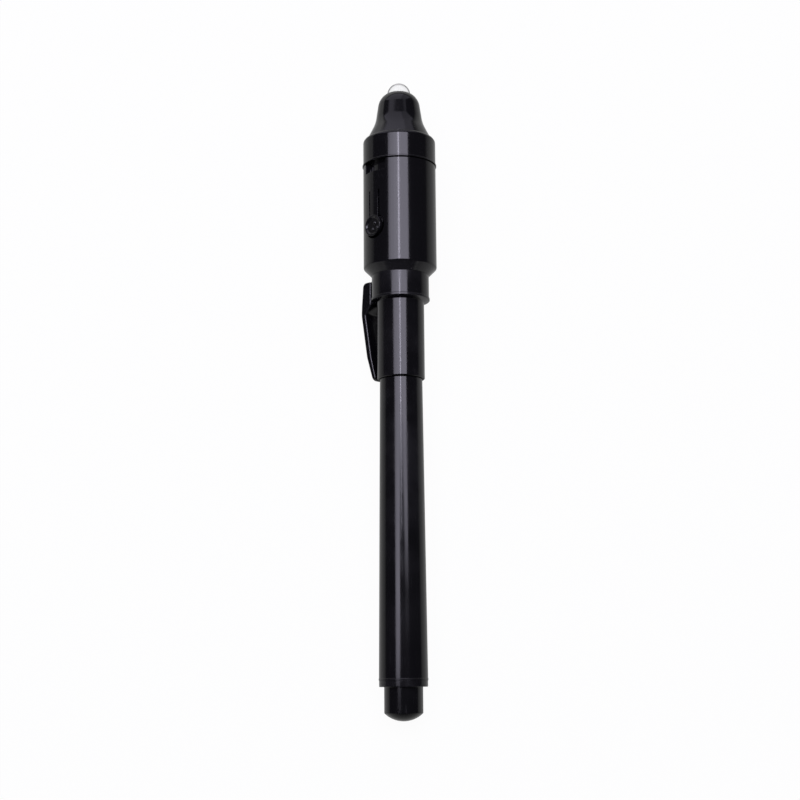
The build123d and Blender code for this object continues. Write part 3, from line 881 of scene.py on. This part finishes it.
@dataclass
class PocketClip:
    """The clip: a bowed arm from the collar to a tip near the sleeve's mouth."""

    angle: float = 130.0
    tip: float = 70.79
    knee: float = 76.05
    crest: float = 85.29
    seat_foot: float = 87.34
    top: float = 92.29
    tip_low: float = 5.6
    tip_high: float = 6.7
    knee_low: float = 6.77
    knee_high: float = 8.17
    crest_low: float = 7.97
    crest_high: float = 9.37
    seat: float = 6.4
    root_high: float = 8.8
    tip_half: float = 1.5
    root_half: float = 2.1
    bend: float = 6.0
    hollow: float = 0.9
    corner: float = 0.9
    end_zone: float = 1.2
    draft: float = 0.12

    def edge_line(self, corners: Corners, stations: Array) -> Array:
        """Heights of a bent line at the given stations."""
        return np.interp(stations, *rounded(corners, closed=False, steps=16).points.T)

    def build(self, shop: Workshop) -> None:
        """Writes the clip: bent outer and inner lines, read at each station, with both ends rounded off."""
        ends = self.tip, self.tip + self.end_zone, self.top - self.end_zone, self.top
        zones = [np.linspace(*ends[i : i + 2], rows) for i, rows in enumerate((14, 90, 16))]
        stations = np.concatenate([zones[0][:-1], zones[1][:-1], zones[2]])
        outer = [
            (self.tip, self.tip_high), (self.knee, self.knee_high, self.bend),
            (self.crest, self.crest_high, self.bend), (self.top, self.root_high),
        ]
        inner = [
            (self.tip, self.tip_low), (self.knee, self.knee_low, self.bend),
            (self.crest, self.crest_low, self.hollow), (self.seat_foot, self.seat, FULL),
            (self.top, self.seat),
        ]
        from_tip = np.clip(self.tip + self.corner - stations, 0, self.corner)
        from_top = np.clip(stations - self.top + self.corner, 0, self.corner)
        half = np.interp(stations, [self.tip, self.seat_foot], [self.tip_half, self.root_half])
        half -= self.corner - np.sqrt(self.corner**2 - from_tip**2)
        high = self.edge_line(outer, stations) - (self.corner - np.sqrt(self.corner**2 - from_top**2))
        section = self.edge_line(inner, stations), high, half
        shell = bar_along(stations, section, FULL, MILD, self.angle, self.draft)
        shop.write("pocket_clip_moulding", [shell], Body.CLIP, Slot.GLOSS, "pocket_clip")


@dataclass
class Cap:
    """The cap sleeve with its collar, the seat of the clip, and the inner cap."""

    clip: PocketClip
    bore: float = 4.15
    mouth: float = 70.39
    radius: float = 5.0
    collar_foot: float = 86.89
    slope: float = 0.45
    lip: float = 6.22
    lip_length: float = 0.45
    lip_step: float = 0.08
    collar: float = 6.08
    head_foot: float = 92.69
    spigot: float = 5.5
    spigot_top: float = 97.49
    end: float = 96.29

    def sleeve(self) -> Line:
        """Profile of the sleeve: mouth, tube, sloping lip, collar, spigot and closed end."""
        lip_foot = self.collar_foot + self.slope
        lip_top = lip_foot + self.lip_length
        corners = [
            (0.0, self.spigot_top), (self.spigot, self.spigot_top, FULL),
            (self.spigot, self.head_foot, FINE), (self.collar, self.head_foot, NEAT),
            (self.collar, lip_top + self.lip_step, CRISP),
            (self.lip, lip_top, NEAT), (self.lip, lip_foot, MILD), (self.radius, self.collar_foot, SLIGHT),
            (self.radius, self.mouth, BROAD), (self.bore, self.mouth, BROAD),
            (self.bore, self.end, SOFT), (0.0, self.end),
        ]
        return rounded(corners, closed=False)

    def seat(self) -> Shell:
        """Block on the collar that carries the clip."""
        stations = np.linspace(self.collar_foot + self.slope, self.clip.top, 12)
        section = [np.full(12, size) for size in (self.radius, self.clip.seat, self.clip.root_half)]
        return bar_along(stations, section, SLIGHT, SLIGHT, self.clip.angle)

    def build(self, shop: Workshop) -> None:
        """Writes the sleeve with the seat, and dresses the inner cap."""
        shells = [turned(self.sleeve()), self.seat()]
        shop.write("cap_sleeve_moulding", shells, Body.CAP, Slot.GLOSS, "cap_sleeve")
        shop.dress(Slot.INNER_CAP, "inner_cap")


@dataclass
class Head:
    """The battery tube of the lamp head, with its pry notch and the window of the push button."""

    radius: float = 7.785
    bore: float = 6.45
    foot: float = 92.69
    foot_radius: float = 6.095
    foot_bore: float = 5.52
    web: float = 2.3
    seam: float = 116.79
    rim: float = 0.07
    edge_round: float = 0.5
    notch_angle: float = 45.5
    notch_turn: float = 22.5
    notch_depth: float = 2.35
    button_angle: float = 45.0
    pad_center: float = 102.35
    window_pad: float = 2.67
    window_half: float = 1.6
    tongue_half: float = 1.15
    tongue_length: float = 7.85
    columns: int = 240
    patch_foot: float = 98.6
    patch_top: float = 111.2
    patch_rows: int = 51
    patch_columns: int = 18

    def notch_path(self) -> Rows:
        """Top edge of the tube once round, dipping into the notch, read at even steps of its length."""
        half = math.pi * self.radius
        reach = math.radians(self.notch_turn) * self.radius
        low = self.seam - self.notch_depth
        corners = [
            (-half, self.seam), (-reach, self.seam, BROAD), (-reach, low, FULL),
            (reach, low, FULL), (reach, self.seam, BROAD), (half, self.seam),
        ]
        line = rounded(corners, closed=False)
        length = np.concatenate([[0], np.cumsum(np.linalg.norm(np.diff(line.points, axis=0), axis=1))])
        at = length[-1] * np.arange(self.columns) / self.columns
        x, y, across, up = (np.interp(at, length, v) for v in (*line.points.T, *-line.normals.T))
        out = np.stack([across, up], -1)
        return np.stack([x, y], -1), out / np.linalg.norm(out, axis=1, keepdims=True)

    def foot_rows(self, way: Array) -> Rows:
        """Rows of the foot, from the inside round its lower end to the outside, at the given ways round."""
        web = self.foot + self.web
        corners = [
            (self.bore, self.patch_foot), (self.bore, web, SOFT), (self.foot_bore, web, SMALL),
            (self.foot_bore, self.foot, CRISP), (self.foot_radius, self.foot, CRISP),
            (self.radius, self.foot + self.radius - self.foot_radius, self.edge_round),
            (self.radius, self.patch_foot),
        ]
        line = rounded(corners, closed=False, steps=10)
        radius, station = line.points[1:-1].T[..., None]
        across, up = line.normals[1:-1].T[..., None]
        spots = np.stack(np.broadcast_arrays(way, station, radius), -1)
        return spots, np.stack(np.broadcast_arrays(0.0 * way, up, across), -1)

    def housing(self) -> Shell:
        """The tube as one grid round the pen, its window filled by a second grid that runs over its edge.

        The rows go up the outside, over the top edge, down the inside and round the foot. In a rectangle
        about the push button the quads are left out. From each point of the rectangle's border a row goes
        straight towards the middle of the pad, over the window's edge, and back out to the border inside.
        """
        count, middle = self.columns, self.columns // 2
        way = (np.arange(count) - middle) * 2 * math.pi * self.radius / count
        low, top = (np.stack([way, np.full(count, end)], -1) for end in (self.patch_foot, self.patch_top))
        share = np.linspace(0, 1, self.patch_rows)
        path, out = self.notch_path()
        inset = path - self.rim * out
        step = np.linspace(0, 1, 9)[1:-1]
        blocks = [
            self.foot_rows(way),
            flat_rows(low, top, share, self.radius, 1),
            flat_rows(top, inset, step, self.radius, 1),
            rim_rows(path, out, np.full(count, self.rim), self.radius, self.bore),
            flat_rows(inset, top, step, self.bore, -1),
            flat_rows(top, low, share, self.bore, -1),
        ]
        starts = np.cumsum([0] + [len(block[0]) for block in blocks])
        spots, normals = (rows.reshape(-1, 3) for rows in joined(blocks))
        ids = np.arange(len(spots)).reshape(-1, count)
        quads = grid_faces(ids, True, True)
        keep = np.ones(quads.shape[:2], bool)
        left, right = middle - self.patch_columns, middle + self.patch_columns
        borders = []
        for start, rising in ((starts[1], 1), (starts[5], -1)):
            keep[start : start + self.patch_rows - 1, left:right] = False
            grid = ids[start : start + self.patch_rows][::rising]
            there = grid[0, left : right + 1], grid[1:, right]
            back = grid[-1, left:right][::-1], grid[1:-1, left][::-1]
            borders.append(np.concatenate([*there, *back]))
        window = self.window(spots[borders[0], :2])
        extra = np.arange(window[0][..., 0].size).reshape(window[0].shape[:2]) + ids.size
        bridge = grid_faces(np.vstack([borders[0], extra, borders[1]]), False, True).reshape(-1, 4)
        spots, normals = joined([(spots, normals), [rows.reshape(-1, 3) for rows in window]])
        points, facing = Tube(self.radius, self.notch_angle).place(spots, normals)
        edge = 1 - np.clip(np.abs(np.abs(normals).max(1) - DIAGONAL) / DIAGONAL_SPAN, 0, 1)
        return Shell(points, facing, [quads[keep], bridge], edge)

    def window(self, border: Array) -> Rows:
        """Rows from a border round the push button, over the edge of its window, and back inside.

        Args:
            border: (round, station) points of the border.

        Returns:
            Rows of (round, station, radius) and of normals, without the border itself.
        """
        turn = math.radians(self.button_angle - self.notch_angle)
        centre = np.array([turn * self.radius, self.pad_center])
        offset = border - centre
        way = np.arctan2(offset[:, 0], offset[:, 1])
        hole, out = keyhole(way, self.window_pad, self.window_half, self.tongue_length)
        at_root = (np.abs(hole[:, 0]) < self.tongue_half + FIT) & (hole[:, 1] > self.tongue_length - CLOSE)
        soft = np.where(at_root, ROOT, SLIT)
        path, out = centre + hole, -out
        inset = path - soft[:, None] * out
        step = np.linspace(0, 1, 8)[1:-1]
        blocks = [
            flat_rows(border, inset, step, self.radius, 1),
            rim_rows(path, out, soft, self.radius, self.bore),
            flat_rows(inset, border, step, self.bore, -1),
        ]
        return joined(blocks)

    def build(self, shop: Workshop) -> None:
        """Writes the housing."""
        shop.write("head_moulding", [self.housing()], Body.CAP, Slot.GLOSS, "head_housing")


@dataclass
class PushButton:
    """The dished pad with three pips on its springy tongue, and the nub under it."""

    head: Head
    pad: float = 2.27
    pad_height: float = 8.235
    pad_wall: float = 7.45
    pad_foot: float = 1.86
    overhang: float = 0.06
    ring: float = 1.6
    dish: float = 1.95
    dish_floor: float = 7.935
    dish_slope: float = 0.33
    pip: float = 0.42
    pip_top: float = 0.1
    pip_rise: float = 0.28
    pip_spread: float = 0.8
    pip_turn: float = 4.0
    pip_shift: Pair = (-0.33, -0.45)
    nub: float = 0.8
    nub_offset: float = 0.35
    nub_tip: float = 5.35
    nub_round: float = 0.55
    stem: float = 0.5

    def tongue(self) -> Shell:
        """The tongue as rows from a ring under the pad to its outline, over the edge, and back inside."""
        head = self.head
        corner = math.atan2(head.tongue_half, head.tongue_length)
        way = np.union1d(np.linspace(-np.pi, np.pi, 200)[:-1], [-corner, corner])
        path, out = keyhole(way, self.pad - self.overhang, head.tongue_half, head.tongue_length)
        soft = np.where(path[:, 1] > head.tongue_length - CLOSE, ROOT, SLIT)
        centre = np.array([0.0, head.pad_center])
        ring = centre + self.ring * np.stack([np.sin(way), np.cos(way)], -1)
        inset = centre + path - soft[:, None] * out
        share = np.linspace(0, 1, 8)
        blocks = [
            flat_rows(ring, inset, share[:-1], head.radius, 1),
            rim_rows(centre + path, out, soft, head.radius, head.bore),
            flat_rows(inset, ring, share[1:], head.bore, -1),
        ]
        spots, normals = (rows.reshape(-1, 3) for rows in joined(blocks))
        points, facing = Tube(head.radius, head.button_angle).place(spots, normals)
        ids = np.arange(len(points)).reshape(-1, len(way))
        return Shell(points, facing, [grid_faces(ids, True, True).reshape(-1, 4)], np.zeros(len(points)))

    def stud(self, offset: Pair, corners: Corners, sides: int) -> Shell:
        """Small turned shape that stands on the pad.

        Args:
            offset: (along, round) offset from the middle of the pad.
            corners: Profile of (radius, height above the pen axis).
            sides: Columns round it.

        Returns:
            The closed surface.
        """
        turn = math.radians(self.head.button_angle)
        foot = TAIL_TIP + self.head.pad_center * ALONG + offset[0] * ALONG + offset[1] * around(turn)
        basis = Basis(foot, outward(turn), ALONG, around(turn))
        return turned(rounded(corners, closed=False, steps=9), sides, basis)

    def build(self, shop: Workshop) -> None:
        """Writes the tongue, pad, pips and nub as one piece."""
        bore, floor = self.head.bore, self.dish_floor
        top, stem = floor + self.pip_rise, bore + self.stem
        pad = [
            (0.0, floor), (self.dish - self.dish_slope, floor, SOFT), (self.dish, self.pad_height, SLIGHT),
            (self.pad, self.pad_height, MILD), (self.pad, self.pad_wall, CRISP),
            (self.pad_foot, bore, CRISP), (0.0, bore),
        ]
        pip = [
            (0.0, top), (self.pip_top, top, MILD), (self.pip, floor, FINE),
            (self.pip, stem, FINE), (0.0, stem),
        ]
        tip = self.nub_tip
        nub = [(0.0, tip), (self.nub, tip, self.nub_round), (self.nub, stem, FINE), (0.0, stem)]
        shells = [self.tongue(), self.stud((0, 0), pad, 96), self.stud((-self.nub_offset, 0), nub, 48)]
        for third in range(3):
            turn = math.radians(self.pip_turn + 120 * third)
            along = self.pip_shift[0] + self.pip_spread * math.cos(turn)
            across = self.pip_shift[1] + self.pip_spread * math.sin(turn)
            shells.append(self.stud((along, across), pip, 36))
        shop.write("push_button_moulding", shells, Body.BUTTON, Slot.GLOSS, "push_button")


@dataclass
class LampCartridge:
    """The nose ring, nose cone and lamp, with the cells and contacts behind them."""

    head: Head
    spigot_foot: float = 113.79
    ring_foot: float = 116.99
    ring_lip: float = 7.963
    ring_lip_length: float = 0.28
    ring_lip_step: float = 0.05
    ring_bore: float = 5.5
    ring_spigot: float = 6.4
    ring_top: float = 123.1
    ring_round: float = 0.9
    cone_foot: float = 6.9
    cone_lip: float = 0.1
    cone_waist: float = 5.1
    cone_waist_station: float = 126.8
    cone_waist_round: float = 8.0
    cone_tip: float = 4.05
    cone_tip_round: float = 3.6
    cone_top: float = 133.9
    cone_seat: float = 5.6
    cone_spigot: float = 5.48
    cone_spigot_foot: float = 120.5
    cone_bore: float = 4.28
    lamp_seat: float = 2.92
    lamp_seat_depth: float = 1.9
    hole_edge: float = 0.06
    lamp: float = 2.5
    lamp_foot: float = 127.4
    flange: float = 0.4
    flange_top: float = 128.4
    lamp_tip: float = 136.0

    def ring(self) -> Line:
        """Profile of the nose ring: spigot, lip at the seam, wall with a rounded top edge, and bore."""
        wall, lip_top = self.head.radius, self.ring_foot + self.ring_lip_length
        corners = [
            (self.ring_bore, self.spigot_foot, CRISP), (self.ring_spigot, self.spigot_foot, SOFT),
            (self.ring_spigot, self.ring_foot, FINE), (self.ring_lip, self.ring_foot, SLIGHT),
            (self.ring_lip, lip_top, SMALL), (wall, lip_top + self.ring_lip_step, CRISP),
            (wall, self.ring_top, self.ring_round), (self.ring_bore, self.ring_top, CRISP),
        ]
        return rounded(corners)

    def cone(self) -> Line:
        """Profile of the nose cone: foot, flare, waist, taper, round tip with the lamp hole, and inside."""
        hole, foot = self.lamp + FIT, self.ring_top
        outer = [
            (self.cone_seat, foot), (self.cone_foot, foot, CRISP),
            (self.cone_foot, foot + self.cone_lip, EASED),
            (self.cone_waist, self.cone_waist_station, self.cone_waist_round),
            (self.cone_tip, self.cone_top, self.cone_tip_round), (0.0, self.cone_top),
        ]
        bell = rounded(outer, closed=False, steps=28)
        shown = bell.points[:, 0] > hole + SMALL
        edge = bell.points[shown][-1]
        inner = [
            (edge[0], edge[1]), (hole, edge[1] + self.hole_edge, NEAT), (hole, self.flange_top, FINE),
            (self.lamp_seat, self.flange_top, FINE),
            (self.lamp_seat, self.flange_top - self.lamp_seat_depth, FINE), (self.cone_bore, foot, FINE),
            (self.cone_bore, self.cone_spigot_foot, SMALL), (self.cone_spigot, self.cone_spigot_foot, EASED),
            (self.cone_spigot, foot, FINE), (self.cone_seat, foot),
        ]
        inside = rounded(inner, closed=False)
        parts = ((bell, shown), (inside, slice(1, -1)))
        values = zip(*((line.points[rows], line.normals[rows], line.edge[rows]) for line, rows in parts))
        return Line(*map(np.concatenate, values))

    def lens(self) -> Line:
        """Profile of the lamp body: flange, cylinder and round dome."""
        dome = arc((0.0, self.lamp_tip - self.lamp), self.lamp, 0.0, 90.0, 32)
        flange = self.lamp + self.flange
        corners = [
            (0.0, self.lamp_foot), (flange, self.lamp_foot, NEAT), (flange, self.flange_top, NEAT),
            (self.lamp, self.flange_top, CRISP), *dome[:-1], (0.0, self.lamp_tip),
        ]
        return rounded(corners, closed=False)

    def build(self, shop: Workshop) -> None:
        """Writes the ring, cone and lamp body, and dresses what is behind them."""
        shop.write("nose_ring_moulding", [turned(self.ring())], Body.LAMP, Slot.GLOSS, "nose_ring")
        shop.write("nose_cone_moulding", [turned(self.cone())], Body.LAMP, Slot.GLOSS, "nose_cone")
        shop.write("lamp_body", [turned(self.lens(), 128)], Body.LAMP, Slot.LENS, "lamp_lens")
        shop.dress(Slot.EMITTER, "lamp_chip")
        shop.dress(Slot.LEAD, "anode_lead", "cathode_lead")
        shop.dress(Slot.MATTE, "cell_holder")
        shop.dress(Slot.CONTACT, "positive_contact", "negative_contact", "cathode_strip", "switch_blade")
        for number in (1, 2, 3):
            shop.dress(Slot.CELL, f"cell_{number}_can", f"cell_{number}_lid")
            shop.dress(Slot.GASKET, f"cell_{number}_gasket")


@dataclass(frozen=True)
class Panel:
    """A flat lamp above the pen, given by its edges in metres and the radiance that it shows.

    An upright one stands ahead of the pen at that distance, and near and far are its lower and upper edges.
    """

    name: str
    left: float
    right: float
    near: float
    far: float
    radiance: float
    colour: Triple = (0.86, 0.83, 1.0)
    height: float = 0.62
    shows: bool = True
    upright: bool = False

    def hang(self) -> None:
        """Adds the lamp; its power is its radiance times pi times its area."""
        width, depth = self.right - self.left, self.far - self.near
        data = bpy.data.lights.new(self.name, "AREA")
        data.shape = "RECTANGLE"
        data.size, data.size_y = width, depth
        data.energy = self.radiance * math.pi * width * depth
        data.color = self.colour
        lamp = add(self.name, data)
        across, middle = (self.left + self.right) / 2, (self.near + self.far) / 2
        lamp.location = (across, self.height, middle) if self.upright else (across, middle, self.height)
        lamp.rotation_euler.x = -math.pi / 2 if self.upright else 0.0
        lamp.visible_camera = False
        lamp.visible_glossy = self.shows


@dataclass
class Studio:
    """Camera, table, lamps and world. Camera and table are in millimetres, the table's glow in metres."""

    camera_spot: Triple = (-0.27, -59.7, 322.07)
    camera_aim: Triple = (-0.27, -2.0, 7.965)
    camera_roll: float = -0.46
    lens: float = 68.49
    floor_height: float = 1.015
    floor_slope: float = -0.0316
    floor_reach: float = 2500.0
    floor_white: float = 0.96
    # Painted glow that gloss sees on the table, with a painted contact shadow under the pen
    floor_glow: float = 0.62
    floor_fade: float = 0.06
    tail_fade: float = 6.0
    contact_shadow: Pair = (0.003, 0.009)
    ahead: Pair = (0.068, 0.108)
    ahead_middle: float = 0.6
    ahead_left: float = 12.0
    ahead_most: float = 1.2
    behind: Pair = (0.09, 0.3)
    behind_aside: Pair = (0.4, 0.65)
    behind_glow: float = 0.7
    panels: tuple[Panel, ...] = (
        Panel("left_panel_outer", -0.4366, -0.3254, -0.052, 0.35, 2.9),
        Panel("left_panel_middle", -0.3254, -0.1989, -0.052, 0.35, 3.5),
        Panel("left_panel_inner", -0.1989, -0.155, -0.035, 0.35, 4.0),
        Panel("left_panel_edge", -0.155, -0.108, 0.04, 0.35, 4.0),
        Panel("right_panel", -0.108, 0.31, 0.098, 0.35, 4.0),
        Panel("right_panel_near", 0.065, 0.32, 0.068, 0.098, 3.8),
        Panel("right_panel_nearer", 0.11, 0.32, 0.038, 0.068, 3.2),
        Panel("right_panel_end", 0.15, 0.3, 0.026, 0.038, 1.8),
        Panel("centre_tube", -0.0437, -0.0187, 0.054, 0.3414, 13.0, height=0.605),
        Panel("back_wall_left", -1.72, 0.35, 0.0, 1.7, 0.68, height=1.5, upright=True),
        Panel("back_wall_right", 0.35, 1.22, 0.0, 1.66, 0.42, height=1.5, upright=True),
        Panel("fill_panel", -0.5, 0.5, -0.5, 0.5, 0.6, height=0.7, shows=False),
    )

    def place_camera(self) -> None:
        """Adds the camera of the photograph: above the tail, looking down and towards the lamp."""
        data = bpy.data.cameras.new("camera")
        data.sensor_width = 36.0
        data.lens = self.lens
        data.clip_start = 0.01
        camera = add("camera", data)
        spot, aim = (Vector(v) * MM for v in (self.camera_spot, self.camera_aim))
        turn = (aim - spot).to_track_quat("-Z", "Y").to_matrix().to_4x4()
        roll = Matrix.Rotation(math.radians(self.camera_roll), 4, "Z")
        camera.matrix_world = Matrix.Translation(spot) @ turn @ roll
        bpy.context.scene.camera = camera

    def lay_floor(self) -> None:
        """Adds a white table that the pen rests on, which shows white, keeps a faint shadow, and shows gloss
        a painted glow.
        """
        x, y = self.floor_reach * np.array([[-1, -1], [1, -1], [1, 1], [-1, 1]]).T
        points = np.stack([x, y, self.floor_height + self.floor_slope * y], -1) * MM
        mesh = bpy.data.meshes.new("table")
        mesh.from_pydata(points.tolist(), [], [[0, 1, 2, 3]])
        made = bpy.data.materials.new("white_table")
        shader = Shader(made)
        lit = shader.node("BsdfDiffuse", {"Color": colour4((0.9, 0.9, 0.9))})
        white, glow = (
            shader.node("Emission", {"Color": colour4((1, 1, 1)), "Strength": strength})
            for strength in (1.0, self.glow(shader))
        )
        shown = shader.node("MixShader", {0: self.seen(shader) * self.floor_white, 1: lit, 2: white})
        both = shader.node("MixShader", {0: self.mirrored(shader), 1: shown, 2: glow})
        shader.node("OutputMaterial", {"Surface": both})
        mesh.materials.append(made)
        table = add("table", mesh)

    def ray(self, shader: Shader, name: str) -> Wire:
        """1 for rays of one kind."""
        return shader.wire("LightPath", output=name)

    def seen(self, shader: Shader) -> Wire:
        """1 for rays from the camera and through clear parts."""
        return self.ray(shader, "Is Camera Ray").math("MAXIMUM", self.ray(shader, "Is Transmission Ray"))

    def mirrored(self, shader: Shader) -> Wire:
        """1 for rays that gloss throws back, without those that go through clear parts."""
        return self.ray(shader, "Is Glossy Ray") * (1 - self.ray(shader, "Is Transmission Ray"))

    def glow(self, shader: Shader) -> Wire:
        """How bright gloss shows the table, as painted light that only reflections see.

        It is dark under the pen, a painted contact shadow, and bright beside it, and falls off with the
        distance from the pen's axis, faster behind the tail. Ahead it is brighter towards the left. Far
        behind it is bright to both sides.

        Args:
            shader: The table's nodes.

        Returns:
            The strength of the light.
        """
        x, y, _ = shader.place()
        back = y * -1
        half = HALF_LENGTH * MM
        past = (y - half).math("MAXIMUM", (back - half) * self.tail_fade).math("MAXIMUM", 0.0)
        away = (x * x + past * past).math("SQRT")
        leftward = (self.ahead_middle - x * self.ahead_left).math("MAXIMUM", 0.0)
        ahead = shader.fade(y, *self.ahead) * leftward.math("MINIMUM", self.ahead_most)
        lit = shader.fade(away, *self.contact_shadow) * (ahead + 1) * self.floor_glow
        aside = x.math("ABSOLUTE") / back.math("MAXIMUM", 0.01)
        behind = shader.fade(back, *self.behind) * shader.fade(aside, *self.behind_aside)
        return lit / (away * (1 / self.floor_fade) + 1) + behind * self.behind_glow

    def fill_world(self) -> None:
        """A dark studio round the table, white only where the camera or a clear part looks at it."""
        world = bpy.data.worlds.new("studio")
        bpy.context.scene.world = world
        shader = Shader(world)
        dark, white = (
            shader.node("Background", {"Color": colour4(colour), "Strength": 1.0})
            for colour in ((0.045, 0.045, 0.05), (1, 1, 1))
        )
        both = shader.node("MixShader", {0: self.seen(shader), 1: dark, 2: white})
        shader.node("OutputWorld", {"Surface": both})

    def build(self) -> None:
        """Sets everything up."""
        bpy.context.scene.view_settings.view_transform = "Standard"
        self.place_camera()
        self.lay_floor()
        for panel in self.panels:
            panel.hang()
        self.fill_world()


def main() -> None:
    """Builds the studio and the pen."""
    logging.basicConfig(level=logging.INFO, format="%(message)s")
    Studio().build()
    shop = Workshop()
    head, clip = Head(), PocketClip()
    for assembly in (Barrel(), WritingTip(), Cap(clip), clip, head, PushButton(head), LampCartridge(head)):
        assembly.build(shop)


if __name__ == "__main__":
    main()
